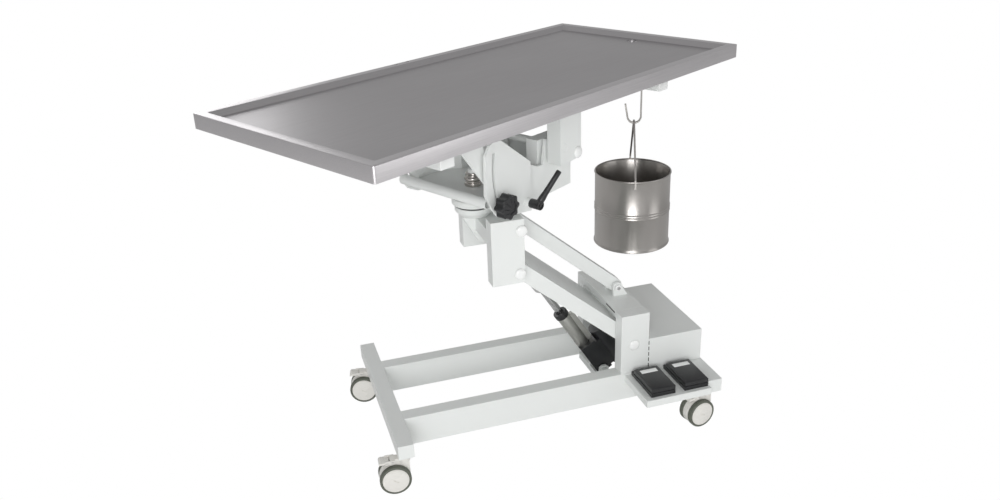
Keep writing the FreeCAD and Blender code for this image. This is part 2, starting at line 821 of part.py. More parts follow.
def upper_link():
    half = "(link_width / 2)"
    bar = slab(rounded("arm_length", "(link_depth / 2)"), "-" + half, half)
    bores = [rod("link_bolt_radius + " + play, "link_width + 2 * over", (x, "-" + half + " - over", "0"))
             for x, play in (("0", "fit"), ("-arm_length", "open_fit"))]
    finish(cut(bar, *bores), "upper_link", LINK)


def arm_pin():
    """The pin that the actuator pushes against."""
    reach = "(clevis_gap / 2 + clevis_thick)"
    shank = rod("clevis_pin_radius", "2 * " + reach, ("-clevis_reach", "-" + reach, "-clevis_drop"))
    heads = [rod("clevis_pin_radius + clevis_pin_head", "clevis_pin_head",
                 ("-clevis_reach", y, "-clevis_drop"))
             for y in ("-" + reach + " - clevis_pin_head", reach)]
    finish(fuse(shank, *heads), "arm_clevis_pin", ARM)


# Actuator; it points along -X from its foot at the origin

def actuator_motor():
    """The gear housing round the foot pin, with the motor on a bridge over it."""
    half = "gear_width / 2"
    top = "(gear_height - gear_drop)"
    gear = block(("gear_length + gear_heel", "gear_width", "gear_height"),
                 ("-gear_length", "-" + half, "-gear_drop"))
    bridge = block(("gear_length + gear_heel - 0.3 * gear_height", "0.7 * gear_width",
                    "motor_offset - " + top + " - 0.5 * motor_radius"),
                   ("0.3 * gear_height - gear_length", "-0.35 * gear_width", top + " - 2 * over"))
    motor = rod("motor_radius", "motor_length", ("motor_heel - motor_length", "0", "motor_offset"), "x")
    cap = rod("motor_radius * 0.84", "motor_radius / 4", ("motor_heel", "0", "motor_offset"), "x")
    bore = rod("foot_pin_radius + fit", "gear_width + 2 * over", ("0", "-" + half + " - over", "0"))
    finish(cut(fuse(gear, bridge, motor, cap), bore), "actuator_motor", ACTUATOR)


def actuator_tube():
    """The outer tube with its square guide bar, and the collar at its end."""
    end = "(-gear_length - outer_tube_length)"
    barrel = cut(rod("outer_tube_radius", "outer_tube_length", (end, "0", "0"), "x"),
                 rod("outer_tube_bore", "outer_tube_length + 2 * over", (end + " - over", "0", "0"), "x"))
    guide = block(("guide_bar_length", "guide_bar_width", "guide_bar_width"),
                  ("-gear_length - guide_bar_length", "-guide_bar_width / 2", "outer_tube_radius - over"))
    finish(fuse(barrel, guide), "actuator_tube", ACTUATOR)
    low = end + " - collar_length"
    ring = cut(rod("collar_radius", "collar_length", (low, "0", "0"), "x"),
               rod("rod_radius + fit", "collar_length + 2 * over", (low + " - over", "0", "0"), "x"))
    finish(ring, "actuator_collar", ACTUATOR)


def actuator_rod():
    x = "-" + ACTUATOR_LENGTH
    shank = rod("rod_radius", "rod_length", (x, "0", "0"), "x")
    eye = rod("rod_eye_radius", "clevis_gap - 2 * side_gap", (x, "side_gap - clevis_gap / 2", "0"))
    hole = rod("clevis_pin_radius + rod_eye_play", "clevis_gap", (x, "-clevis_gap / 2", "0"))
    finish(cut(fuse(shank, eye), hole), "actuator_rod", ACTUATOR)


# Head bracket

def head_cheeks():
    for label, side in (("head_cheek_near", -1), ("head_cheek_far", 1)):
        at = (CHEEK_X, AXIS_Y + " + " + span(side, RAIL_IN, RAIL_OUT), HEAD_Z + " - head_drop")
        shell = tube(("head_width", "tube_width", "head_height"), at, "z", "both")
        bosses = [rod("cap_radius", "tube_width", (x, at[1], z)) for x, z in HEAD_PINS]
        bores = [rod("pin_radius + fit", "tube_width + 2 * over", (x, at[1] + " - over", z))
                 for x, z in HEAD_PINS]
        finish(cut(fuse(shell, *bosses), *bores), label)


def head_beam():
    """The beam under the turntable with a gusset plate at its middle."""
    beam = block(("beam_width", "2 * " + RAIL_IN, "beam_height"),
                 (CHEEK_X, AXIS_Y + " - " + RAIL_IN, BEAM_Z + " - beam_height"))
    points = [(CHEEK_X + " - gusset_reach", BEAM_Z), (CHEEK_X + " + gusset_into / 6", BEAM_Z),
              (CHEEK_X + " + gusset_into", BEAM_Z + " - gusset_drop"),
              (CHEEK_X + " + gusset_into / 6", BEAM_Z + " - gusset_drop + gusset_lip")]
    gusset = slab(points, AXIS_Y + " - gusset_width / 2", AXIS_Y + " + gusset_width / 2")
    finish(fuse(beam, gusset), "head_beam")


def head_pins():
    (low_x, low_z), (high_x, high_z) = HEAD_PINS

    def lower(side):
        return pin(STUB, (low_x, AXIS_Y + past(side, RAIL_OUT), low_z), side)

    def upper(side):
        return pin("tube_width", (high_x, AXIS_Y + past(side, RAIL_OUT), high_z), side)
    bolt = rod("link_bolt_radius", "2 * " + RAIL_IN, (high_x, AXIS_Y + " - " + RAIL_IN, high_z))
    finish(group(*mirrored(lower), fuse(bolt, *mirrored(upper))), "head_pins")


# Turntable

def turntable_base():
    stud = TOP_Z + " + stud_height"
    points = [("0", BEAM_Z), ("turntable_foot_radius", BEAM_Z),
              ("turntable_radius", TURN_Z + " - turntable_lip"),
              ("turntable_radius", TURN_Z), ("stud_radius", TURN_Z), ("stud_radius", stud), ("0", stud)]
    finish(turned(points, SPINDLE), "turntable_base")


def turntable_nut():
    low = TOP_Z + " + gap"
    points = [("stud_radius + fit", low)]
    for share, groove in ((0, 0), (0.24, 0), (0.3, 1), (0.41, 1), (0.47, 0), (0.65, 0), (0.76, 1), (1, 1)):
        points.append(("nut_radius - %d * nut_groove" % groove, low + " + %g * nut_length" % share))
    points.append(("stud_radius + fit", low + " + nut_length"))
    finish(turned(points, SPINDLE), "turntable_nut")


def turntable_seal():
    low = TURN_Z + " + gap"
    points = [("seal_bore", low), ("seal_radius", low), ("seal_radius", DISC_Z), ("seal_bore", DISC_Z)]
    finish(turned(points, SPINDLE), "turntable_seal")


def turntable_disc():
    rim = DISC_Z + " + disc_rim_height"
    points = [("stud_radius + fit", DISC_Z), ("disc_radius - disc_chamfer", DISC_Z),
              ("disc_radius", DISC_Z + " + disc_chamfer"), ("disc_radius", rim),
              ("disc_hub_radius", rim + " + disc_step"), ("disc_hub_radius", PLATE_Z),
              ("stud_radius + fit", PLATE_Z)]
    finish(turned(points, SPINDLE), "turntable_disc")


# Swivel frame, in the table's own directions

def swivel_plate():
    """The plate on the turntable's disc, with an upright web across its front."""
    right = [("bend_start", "side_inner"), ("bend_end", SIDE_STEP), ("plate_right", SIDE_STEP)]
    points = [("-plate_left", "-side_inner")] + [(x, "-" + y) for x, y in right] + right[::-1]
    points.append(("-plate_left", "side_inner"))
    hole = rod("stud_radius + over", "plate_thick + 2 * over", ("0", "0", PLATE_Z + " - over"), "z")
    web = block(("front_web_thick", "2 * " + SIDE_STEP, "front_web_height"),
                ("plate_right - front_web_thick", "-" + SIDE_STEP, TOP_Z))
    finish(group(cut(plan(points, PLATE_Z, TOP_Z), hole), web), "swivel_plate", TABLE)


def swivel_tube():
    at = ("-swivel_tube_offset", "-side_inner", TOP_Z + " + swivel_tube_radius")
    inside = rod("swivel_tube_radius - tube_wall", "2 * (side_inner + over)",
                 (at[0], at[1] + " - over", at[2]))
    finish(cut(rod("swivel_tube_radius", "2 * side_inner", at), inside), "swivel_tube", TABLE)


def slot_tool(near, depth):
    """The curved slot round the tilt axis that the clamp bolt rides in."""
    points = []
    steps = 10
    for sign, turns in (("+", range(steps + 1)), ("-", range(steps, -1, -1))):
        radius = "(slot_radius " + sign + " slot_width / 2)"
        for step in turns:
            turn = "((slot_low + slot_spare) * %g + slot_high * %g)" % (step / steps - 1, step / steps)
            points.append(("pin_offset - " + radius + " * cos" + turn,
                           PIN_Z + " + " + radius + " * sin" + turn))
    return slab(points, near, near + " + " + depth)


def side_outline():
    """The outline of a side plate, from its rear foot over the crest to the axle and the front."""
    rear, front = "%g * side_rear", "%g * side_front"
    crest, foot = "%g * side_crest", "%g * side_foot"
    shape = [(rear % -0.966, crest % 0.587), (rear % -0.838, crest % 0.893), (rear % -0.667, crest % 1),
             (rear % -0.496, crest % 0.92), (front % 0.279, foot % -0.2), (front % 0.458, foot % -0.343),
             ("pin_offset - 1.75 * axle_ear", foot % -0.343), ("pin_offset - axle_ear", "axle_ear + over"),
             ("pin_offset + axle_ear", "axle_ear + over"), (front % 1, foot % -0.067),
             (front % 1, foot % -0.94), (front % 0.183, foot % -1), (rear % -0.47, foot % -0.903),
             (rear % -0.718, foot % -0.8), (rear % -0.82, foot % -0.68), (rear % -1, foot % -0.38)]
    return [(x, PIN_Z + " + (" + z + ")") for x, z in shape]


def side_plates():
    """Two bent plates: each outline is cut from the plan of its bend."""
    depth = "(side_joggle + side_thick + slot_width)"
    for label, side in (("side_plate_near", -1), ("side_plate_far", 1)):
        inner, step = ("%d * " % side + distance for distance in ("side_inner", SIDE_STEP))
        thick = " + %d * side_thick" % side
        bent = [("-1.1 * side_rear", inner), ("bend_start", inner), ("bend_end", step),
                ("1.1 * side_front", step), ("1.1 * side_front", step + thick),
                ("bend_end + side_gap", step + thick), ("bend_start + side_gap", inner + thick),
                ("-1.1 * side_rear", inner + thick)]
        near = span(side, SIDE_STEP, "side_inner + side_thick")
        face = slab(side_outline(), near, near + " + " + depth)
        bend = plan(bent[::side], PIN_Z + " - 1.1 * side_foot", PIN_Z + " + 1.1 * side_crest")
        axle_hole = rod("axle_radius + axle_play", depth, ("pin_offset", near, PIN_Z))
        shape = cut(common(face, bend), slot_tool(near, depth), axle_hole)
        if side < 0:
            shape = lever_boss(shape)
        finish(shape, label, TABLE)


def lever_boss(plate):
    """The near plate with the boss that the clamp lever's shaft turns in."""
    boss = rod("lever_boss_radius", "lever_boss_length", ("lever_offset", "-" + LEVER_FACE, LEVER_Z))
    bore = rod("lever_shaft_radius + fit", "lever_boss_length + side_thick + 2 * over",
               ("lever_offset", "-" + LEVER_FACE + " - over", LEVER_Z))
    return cut(fuse(plate, boss), bore)


def tilt_blocks():
    def one(side):
        y = span(side, "block_inner", "block_inner + block_thick")
        return block(("block_length", "block_thick", "block_height"), ("block_left", y, TOP_Z))
    bore = rod("axle_radius + fit", "2 * side_inner", ("pin_offset", "-side_inner", PIN_Z))
    finish(cut(group(*mirrored(one)), bore), "tilt_blocks", TABLE)


def clamp_lever():
    face = "-" + LEVER_FACE + " - gap"
    shaft = rod("lever_shaft_radius", "lever_shaft_length", ("lever_offset", face, LEVER_Z))
    hub = cone("lever_hub_radius", "0.75 * lever_hub_radius", "lever_hub",
               ("lever_offset", face + " - lever_hub", LEVER_Z))
    arm = cone("lever_radius", "0.76 * lever_radius", "lever_arm",
               ("lever_offset", face + " - 0.8 * lever_hub", LEVER_Z), "z")
    arm.Placement = FreeCAD.Placement(arm.Placement.Base, FreeCAD.Rotation(AXES["y"], 1))
    bind(arm, **{"Placement.Rotation.Angle": "lever_lean"})
    finish(fuse(shaft, hub, arm), "clamp_lever", TABLE)


# Tilting frame

def tilt_axle():
    half = "(post_inner + post_thick)"
    finish(rod("axle_radius", "2 * " + half, ("pin_offset", "-" + half, PIN_Z)), "tilt_axle", TABLE)


def tilt_posts():
    left, low = "pin_offset - post_edge", PIN_Z + " - post_low"
    points = [(left, UNDER_Z), (left, low),
              (left + " + post_width - post_corner", low + " + 0.18 * post_corner"),
              (left + " + post_width - 0.27 * post_corner", low + " + 0.45 * post_corner"),
              (left + " + post_width", low + " + post_corner"), (left + " + post_width", UNDER_Z)]

    def post(side):
        near = span(side, "post_inner", "post_inner + post_thick")
        bore = rod("axle_radius + fit", "post_thick + 2 * over", ("pin_offset", near + " - over", PIN_Z))
        return cut(slab(points, near, near + " + post_thick"), bore)
    finish(group(*mirrored(post)), "tilt_posts", TABLE)


def under_frame():
    """Two long tubes between two cross tubes under the tray."""
    def long_tube(side):
        size = ("cross_left + cross_right - under_tube_width", "under_tube_width", "under_tube_height")
        y = span(side, "long_inner", "long_inner + under_tube_width")
        return tube(size, ("under_tube_width - cross_left", y, UNDER_Z), "x")
    cross_size = ("under_tube_width", "2 * cross_reach", "under_tube_height")
    crosses = [tube(cross_size, (x, "-cross_reach", UNDER_Z), "y") for x in CROSS_TUBES]
    finish(group(*crosses, *mirrored(long_tube)), "under_frame", TABLE)


def frame_end_caps():
    """The caps in the cross tubes' ends and the two round caps on the posts."""
    caps = [block(("under_tube_width", "end_cap", "under_tube_height"), (x, y, UNDER_Z))
            for x in CROSS_TUBES for y in ("-cross_reach - end_cap", "cross_reach")]

    def post_cap(side):
        out = "(%d) * " % side
        points = [("0", "0"), ("cap_radius", "0"), ("cap_radius", out + "cap_height * 0.5"),
                  ("cap_radius * 0.7", out + "cap_height"), ("0", out + "cap_height * 1.2")]
        face = out + "(post_inner + post_thick)"
        return turned(points, ("stop_offset", face, PIN_Z + " - stop_drop"), "y")
    finish(group(*caps, *mirrored(post_cap)), "frame_end_caps", TABLE)


def tilt_arms():
    """The plates that reach down from the under frame to the clamp bolt."""
    ear = " + (%g) * bolt_ear"
    shoulder = PIN_Z + " + tilt_arm_shoulder"
    foot = [(BOLT_X + ear % 1.25, BOLT_Z + ear % 1.75), (BOLT_X + ear % 1, BOLT_Z + ear % -0.75),
            (BOLT_X, BOLT_Z + ear % -1.125), (BOLT_X + ear % -1, BOLT_Z + ear % -0.5),
            (BOLT_X + ear % -1, BOLT_Z + ear % 3.25)]
    points = foot + [("-tilt_arm_left", shoulder), ("-tilt_arm_left", UNDER_Z),
                     ("-tilt_arm_right", UNDER_Z), ("-tilt_arm_right", shoulder)]

    def arm(side):
        near = span(side, "tilt_arm_inner", "tilt_arm_inner + tilt_arm_thick")
        hole = rod("bolt_radius + fit", "tilt_arm_thick + 2 * over", (BOLT_X, near + " - over", BOLT_Z))
        return cut(slab(points, near, near + " + tilt_arm_thick"), hole)
    finish(group(*mirrored(arm)), "tilt_arms", TABLE)


def star_knob():
    """The clamp knob: a core with eight lobes, a neck, and the bolt through the slot and the tilt arm."""
    face = "-side_inner - side_thick"
    low = face + " - knob_standoff - knob_thick"
    ring = "(knob_radius - knob_lobe)"
    core = rod("knob_radius - 0.9 * knob_lobe", "knob_thick", (BOLT_X, low, BOLT_Z))
    lobes = [rod("knob_lobe", "knob_thick - knob_lobe / 2",
                 (BOLT_X + " + " + ring + " * cos(%d)" % turn, low + " + knob_lobe / 4",
                  BOLT_Z + " + " + ring + " * sin(%d)" % turn)) for turn in range(0, 360, 45)]
    neck = cone("knob_neck_radius", "knob_lobe", "knob_standoff - gap",
                (BOLT_X, face + " - knob_standoff", BOLT_Z))
    bolt = rod("bolt_radius", "side_inner + side_thick - tilt_arm_inner + bolt_head_height",
               (BOLT_X, face + " - over", BOLT_Z))
    head = rod("bolt_head_radius", "bolt_head_height", (BOLT_X, "gap - tilt_arm_inner", BOLT_Z))
    finish(fuse(core, neck, bolt, head, *lobes), "star_knob", TABLE)


# Tray, drain, hook and bucket

def well(grow, low, high):
    """The tapered hollow of the tray, wider at the top."""
    half_x = "(tray_length / 2 - tray_flange - tray_slope + " + grow + ")"
    half_y = "(tray_width / 2 - tray_flange - tray_slope + " + grow + ")"
    points = [("tray_offset" + across + half_x, along + half_y)
              for across, along in ((" - ", "-"), (" + ", "-"), (" + ", ""), (" - ", ""))]
    body = plan(points, low, high)
    body.Tip.setExpression("TaperAngle", refer("atan(tray_slope / tray_depth)"))
    return body


def tray():
    x, y, under = "tray_offset - tray_length / 2", "-tray_width / 2", RIM_Z + " - tray_skirt"
    outer = block(("tray_length", "tray_width", "tray_skirt"), (x, y, under))
    inner = block(("tray_length - 2 * sheet", "tray_width - 2 * sheet", "tray_skirt"),
                  (x + " + sheet", y + " + sheet", under + " - sheet"))
    basin = well("sheet", FLOOR_Z, RIM_Z + " - sheet")
    hollow = well("0", FLOOR_Z + " + sheet", RIM_Z)
    hole = rod("drain_radius", "3 * sheet", (DRAIN_T, "0", FLOOR_Z + " - sheet"), "z")
    finish(cut(fuse(cut(outer, inner), basin), hollow, hole), "tray", TABLE)


def drain_spigot():
    low = FLOOR_Z + " - drain_length"
    pipe = rod("drain_radius + drain_wall", "drain_length", (DRAIN_T, "0", low), "z")
    bore = rod("drain_radius", "drain_length + 2 * over", (DRAIN_T, "0", low + " - over"), "z")
    finish(cut(pipe, bore), "drain_spigot", TABLE)


def swept(points, radius):
    """A round wire along a path given by its points, with an arc for each triple."""
    path = []
    for start, middle, end in points:
        start, end = FreeCAD.Vector(*start), FreeCAD.Vector(*end)
        if middle is None:
            path.append(Part.LineSegment(start, end).toShape())
        else:
            path.append(Part.Arc(start, FreeCAD.Vector(*middle), end).toShape())
    along = path[0].tangentAt(path[0].FirstParameter)
    ring = Part.Wire(Part.Circle(FreeCAD.Vector(*points[0][0]), along, radius).toShape())
    return Part.Wire(path).makePipeShell([ring], True, True)


def bucket_hook():
    """A hook of two wires side by side, splayed at the tip, under a short bar on the drain pipe."""
    bend, wire, bottom = value("hook_bend"), value("hook_wire"), value(HOOK_Z)
    top, tip = value(FLOOR_Z + " - drain_length + hook_overlap"), value("hook_tip")
    lean, rise = value("sin(hook_splay)"), value("cos(hook_splay)")
    low = bottom + bend
    wires = []
    for side in (-1, 1):
        y = side * value("hook_wire + wire_gap")
        front, back = (bend, y, low), (-bend * rise, y, low - bend * lean)
        end = (back[0] - tip * lean, y, back[2] + tip * rise)
        wires.append(swept([((bend, y, top), None, front), (front, (0, y, bottom), back),
                            (back, None, end)], wire))
    item = doc.addObject("Part::Feature", "Wires")
    item.Shape = wires[0].fuse(wires[1])
    half = "(2 * hook_wire + 5 * wire_gap)"
    bar_z = FLOOR_Z + " - drain_length + hook_overlap - hook_bar / 2"
    bar_length = "hook_bend + hook_wire - " + PIPE_SIDE
    bar = block((bar_length, "2 * " + half, "hook_bar"), (PIPE_SIDE, "-" + half, bar_z))
    finish(fuse(item, bar), "bucket_hook", HOOK)


def bail():
    """The strap handle, bent to a peak over the bucket, with a pivot pin at each foot."""
    inner = "(bucket_radius + bail_gap)"
    outer = "(bucket_radius + bail_gap + bail_thick)"
    foot, knee = EAR_Z + " - bail_foot", EAR_Z + " + bail_knee"
    seat = BUCKET_Z + " + bail_rise"
    half = [("bail_seat", seat), (inner, knee), (inner, foot), (outer, foot), (outer, knee + " + over"),
            ("bail_seat + side_gap", seat + " + bail_thick")]
    points = [("-(" + x + ")", z) for x, z in half] + half[::-1]
    strap = slab(points, "-bail_width / 2", "bail_width / 2")
    pins = [rod("bail_pin_radius", "bail_pin_length", (x, "0", EAR_Z), "x")
            for x in ("-" + outer + " - over", outer + " + over - bail_pin_length")]
    finish(fuse(strap, *pins), "bail", BUCKET)


def bucket():
    """A rolled rim, three beads, a base rim and an ear on each side for the bail's pin."""
    low = "(" + BUCKET_Z + " - bucket_height)"
    wall, inside = "(bucket_radius - bucket_inset)", "bucket_radius - bucket_inset - bucket_wall"
    lip, roll = "bucket_radius - bucket_lip", "bucket_radius + bucket_roll"
    points = [("0", low + " + bucket_base"), (lip, low + " + bucket_base"), (lip, low), (roll, low),
              (roll, low + " + bucket_base"), (wall, low + " + 2 * bucket_base")]
    for number in range(3):
        middle = low + " + bead_rise + %d * bead_pitch" % number
        points += [(wall, middle + " - bead"), (wall + " + bead / 2", middle), (wall, middle + " + bead")]
    points += [(wall, BUCKET_Z + " - 2 * bucket_lip"), (roll, BUCKET_Z + " - bucket_lip - over"),
               (roll, BUCKET_Z), (lip, BUCKET_Z), (lip, BUCKET_Z + " - 2 * bucket_lip"),
               (inside, BUCKET_Z + " - 2 * bucket_base"), (inside, low + " + bucket_base + bucket_wall"),
               ("0", low + " + bucket_base + bucket_wall")]
    out = "(bucket_radius + ear_stand)"
    ears = [rod("ear_radius", "ear_length", (x, "0", EAR_Z), "x") for x in ("-" + out, out + " - ear_length")]
    holes = [rod("bail_pin_radius + fit", "ear_hole + over", (x, "0", EAR_Z), "x")
             for x in ("-" + out + " - over", out + " - ear_hole")]
    finish(cut(fuse(turned(points, ("0", "0", "0")), *ears), *holes), "bucket", BUCKET)


for make in (crossbars, rails, uprights, column_beam, link_lugs, column_pins, actuator_mount, control_box,
             pedal_shelf, pedals, casters, lower_arm, arm_pin, upper_link, actuator_motor, actuator_tube,
             actuator_rod, head_cheeks, head_beam, head_pins, turntable_base, turntable_nut, turntable_seal,
             turntable_disc, swivel_plate, swivel_tube, side_plates, tilt_blocks, clamp_lever, tilt_axle,
             tilt_posts, under_frame, frame_end_caps, tilt_arms, star_knob, tray, drain_spigot, bucket_hook,
             bail, bucket):
    make()
doc.recompute()

os.makedirs("parts", exist_ok=True)
for item in doc.Objects:
    if "Invalid" in item.State or "Error" in item.State:
        print("bad", item.Name, item.Label, item.State)
for item in parts:
    shape = item.Shape
    if shape.isNull() or not shape.isValid():
        print("bad shape", item.Label)
    else:
        shape.exportStep("parts/" + item.Label + ".step")
print(len(parts), "sub-parts")
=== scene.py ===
import json
from math import cos, pi, radians, sin

import bpy
from mathutils import Matrix, Vector


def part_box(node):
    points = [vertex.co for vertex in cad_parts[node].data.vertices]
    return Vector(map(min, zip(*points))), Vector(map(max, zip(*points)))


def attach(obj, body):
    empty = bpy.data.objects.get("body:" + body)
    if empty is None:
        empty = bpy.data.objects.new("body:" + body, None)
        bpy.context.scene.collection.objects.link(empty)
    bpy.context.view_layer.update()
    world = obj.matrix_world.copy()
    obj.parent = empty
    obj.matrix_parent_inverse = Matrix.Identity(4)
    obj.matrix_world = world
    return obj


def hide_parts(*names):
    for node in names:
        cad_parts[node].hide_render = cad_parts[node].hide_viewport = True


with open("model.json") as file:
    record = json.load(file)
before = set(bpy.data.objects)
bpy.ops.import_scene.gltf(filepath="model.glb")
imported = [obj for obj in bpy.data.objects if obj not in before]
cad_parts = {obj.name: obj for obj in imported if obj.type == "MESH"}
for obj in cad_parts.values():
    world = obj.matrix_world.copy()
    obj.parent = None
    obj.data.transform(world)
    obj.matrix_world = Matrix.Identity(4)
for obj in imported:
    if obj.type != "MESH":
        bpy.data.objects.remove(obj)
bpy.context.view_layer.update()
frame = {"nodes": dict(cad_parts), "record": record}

bl_info = {
    "name": "Operating Table",
    "version": (1, 0, 0),
    "blender": (4, 5, 0),
    "location": "View3D > Sidebar > Table",
    "description": "Dresses the operating table: enamelled frame, steel tray and bucket, casters and pedals",
    "category": "Object",
}

NODES = frame["nodes"]
JOINTS = {joint["name"]: joint for joint in frame["record"]["behaviour"]["joints"]}
CASTERS = ("near_left", "far_left", "near_right", "far_right")

# Studio: metres, degrees, watts and millimetres of lens

CAMERA_PLACE = (-0.650, -2.140, 1.474)
CAMERA_YAW = 16.87
CAMERA_PITCH = 23.78
CAMERA_ROLL = -2.14
CAMERA_LENS = 32.8
CAMERA_SENSOR = 36
LAMP_AIM = (0, 0, 0.5)
LAMPS = (
    ("key_lamp", (-1.6, -4.4, 1.7), 100, 2.6),
    ("fill_lamp", (3.2, -2.6, 1.4), 16, 2.4),
    ("front_lamp", (0.2, -5.2, 0.8), 16, 4.0),
    ("sheen_lamp", (-1.0, 2.4, 1.75), 9, 1.5),
)
AMBIENT = 0.42
FLOOR_WIDTH = 60

# Sizes of the modelled pieces, in metres

TRAY_HALF = (0.65, 0.308)
TRAY_FOLD = 0.002
CORNER_HEIGHT = 0.01
CORNER_WIDTH = 0.02
DRAIN_HOLE = 0.0155
DRAIN_CUT = 0.02
RIM_SLOT = (0.013, 0.006, 0.012)
RIM_SLOTS_ALONG = (0.037, 0.074)
RIM_SLOT_INSET = 0.010

PAIL_RADIUS = 0.116
PAIL_SHEET = 0.0012
PAIL_BOTTOM_RING = 0.03
PAIL_FOOT = ((0.0, 0.001), (0.0015, 0.0026), (0.0045, 0.0024), (0.007, 0.0006), (0.010, 0.0), (0.018, 0.0))
PAIL_BEAD = ((-0.003, 0.0), (-0.0012, 0.0012), (0.0, 0.0016), (0.0012, 0.0012), (0.003, 0.0))
PAIL_RIM = ((-0.008, 0.0), (-0.006, 0.001), (-0.003, 0.0024), (-0.0008, 0.0018), (0.0, -0.0002),
            (-0.0012, -0.0022), (-0.004, -0.0022))

KNOB_RADIUS = 0.031
KNOB_HEIGHT = 0.024
KNOB_LOBES = 8
KNOB_OUT = 0.171
KNOB_CROWN = ((0.965, 0.0012), (0.93, 0.0008))
KNOB_DISH = (0.007, 0.0014)
KNOB_NECK = (0.0135, 0.0135)
KNOB_NECK_TAPER = 0.62
KNOB_BOLT = (0.004, 0.036)
KNOB_NUT = (0.007, 0.004)

LEVER_OUT = 0.0223
LEVER_HUB = (0.0118, 0.030)
LEVER_BUTTON = (0.0035, 0.003)
LEVER_SCREW = (0.005, 0.004)
LEVER_ROOT = (0.0088, 0.02)
LEVER_STEPS = ((0.012, 0.86), (0.022, 0.92), (0.022, 0.97), (0.018, 1.0), (0.003, 0.86))
LEVER_SHAFT = (0.005, 0.03)

TYRE_RADIUS = 0.0400
TYRE_WIDTH = 0.015
TYRE_RISE = 0.0067
TYRE_ROUND = 0.0034
COVER_RADIUS = 0.0334
COVER_WIDTH = 0.0138
COVER_STEPS = ((0.0022, 0.0012), (0.004, 0.0006), (0.010, 0.0003))
COVER_SLOT = (0.015, 0.0022, 0.003)
WHEEL_OUT = 0.0185
AXLE = (0.004, 0.034)
RING_MISS = 0.0004

LID_SHORTER = 0.014
LID_THICKNESS = 0.0108
LID_MIDDLE = 0.0062
LID_STEP = (0.0035, 0.0009)
STRIP_NARROWER = 0.022
STRIP = (0.016, 0.0008)
STRIP_BACK = 0.034
STRIP_RISE = 0.0127

PAD = (0.023, 0.030, 0.006)
PAD_OUT = 0.0195
RIB = (0.0013, 0.0308, 0.0068)
RIB_START = 0.0105
RIB_PITCH = 0.0031
RIBS = 7
CHEEK = (0.024, 0.004, 0.010)
BRAKE_SHAFT = (0.003, 0.030)

SEAM_DASH = (0.0022, 0.0008, 0.011)
SEAM_START = 0.014
SEAM_PITCH = 0.017
SEAM_DASHES = 5
# Thin black strip of painted shade under the column beam's top
BEAM_SHADE_STRIP = (0.0008, 0.058, 0.0035)
LINK_BOLT = (0.0055, 0.003)
LINK_PIN_REACH = 0.02


# Sizes and colours

def length(label, text, default):
    return bpy.props.FloatProperty(name=label, description=text, default=default, unit="LENGTH")


def colour(label, text, default):
    return bpy.props.FloatVectorProperty(name=label, description=text, default=default, size=3,
                                         subtype="COLOR", min=0, max=1)


class TableSizes(bpy.types.PropertyGroup):
    turn: bpy.props.FloatProperty(name="Table turn", description="How far the tray is swivelled on the base",
                                  default=radians(29.8), subtype="ANGLE")
    edge: length("Soft edge", "Rounding of the folded and welded steel's edges", 0.0015)
    bead_rise: length("Bead rise", "Height of the bucket's middle bead above its foot", 0.118)
    bead_pitch: length("Bead pitch", "Distance between the bucket's beads", 0.008)
    tray_corner: length("Tray corner", "Radius of the tray's corners seen from above", 0.006)
    tray_flange: length("Tray flange", "Width of the flat rim round the tray", 0.024)
    tray_slope: length("Tray slope", "Run of the sloping wall inside the rim", 0.008)
    tray_depth: length("Tray depth", "Depth of the tray's floor below its rim", 0.014)
    sheet: length("Sheet", "Thickness of the stainless sheet", 0.002)


class TableColours(bpy.types.PropertyGroup):
    enamel: colour("Enamel", "Powder coat on the frame", (0.80, 0.82, 0.805))
    steel: colour("Stainless", "Brushed stainless sheet", (0.53, 0.515, 0.525))
    black: colour("Black plastic", "Knob, lever, pedals and motor", (0.013, 0.0135, 0.015))
    tyre: colour("Tyre", "Grey rubber of the casters", (0.115, 0.125, 0.10))
    caster: colour("Caster plastic", "Hoods and wheel centres of the casters", (0.80, 0.785, 0.745))
    floor: colour("Floor", "Studio floor", (0.98, 0.98, 0.98))


def sizes():
    return bpy.context.scene.table_sizes


def colours():
    return bpy.context.scene.table_colours


# Shader node groups

def new_group(name, inputs, outputs):
    group = bpy.data.node_groups.new(name, "ShaderNodeTree")
    for label, kind, default in inputs:
        socket = group.interface.new_socket(name=label, in_out="INPUT", socket_type=kind)
        if default is not None:
            socket.default_value = default
    for label, kind in outputs:
        group.interface.new_socket(name=label, in_out="OUTPUT", socket_type=kind)
    return group, group.nodes.new("NodeGroupInput"), group.nodes.new("NodeGroupOutput")


def node(tree, kind, **settings):
    item = tree.nodes.new(kind)
    for key, setting in settings.items():
        if key in item.inputs:
            item.inputs[key].default_value = setting
        else:
            setattr(item, key, setting)
    return item


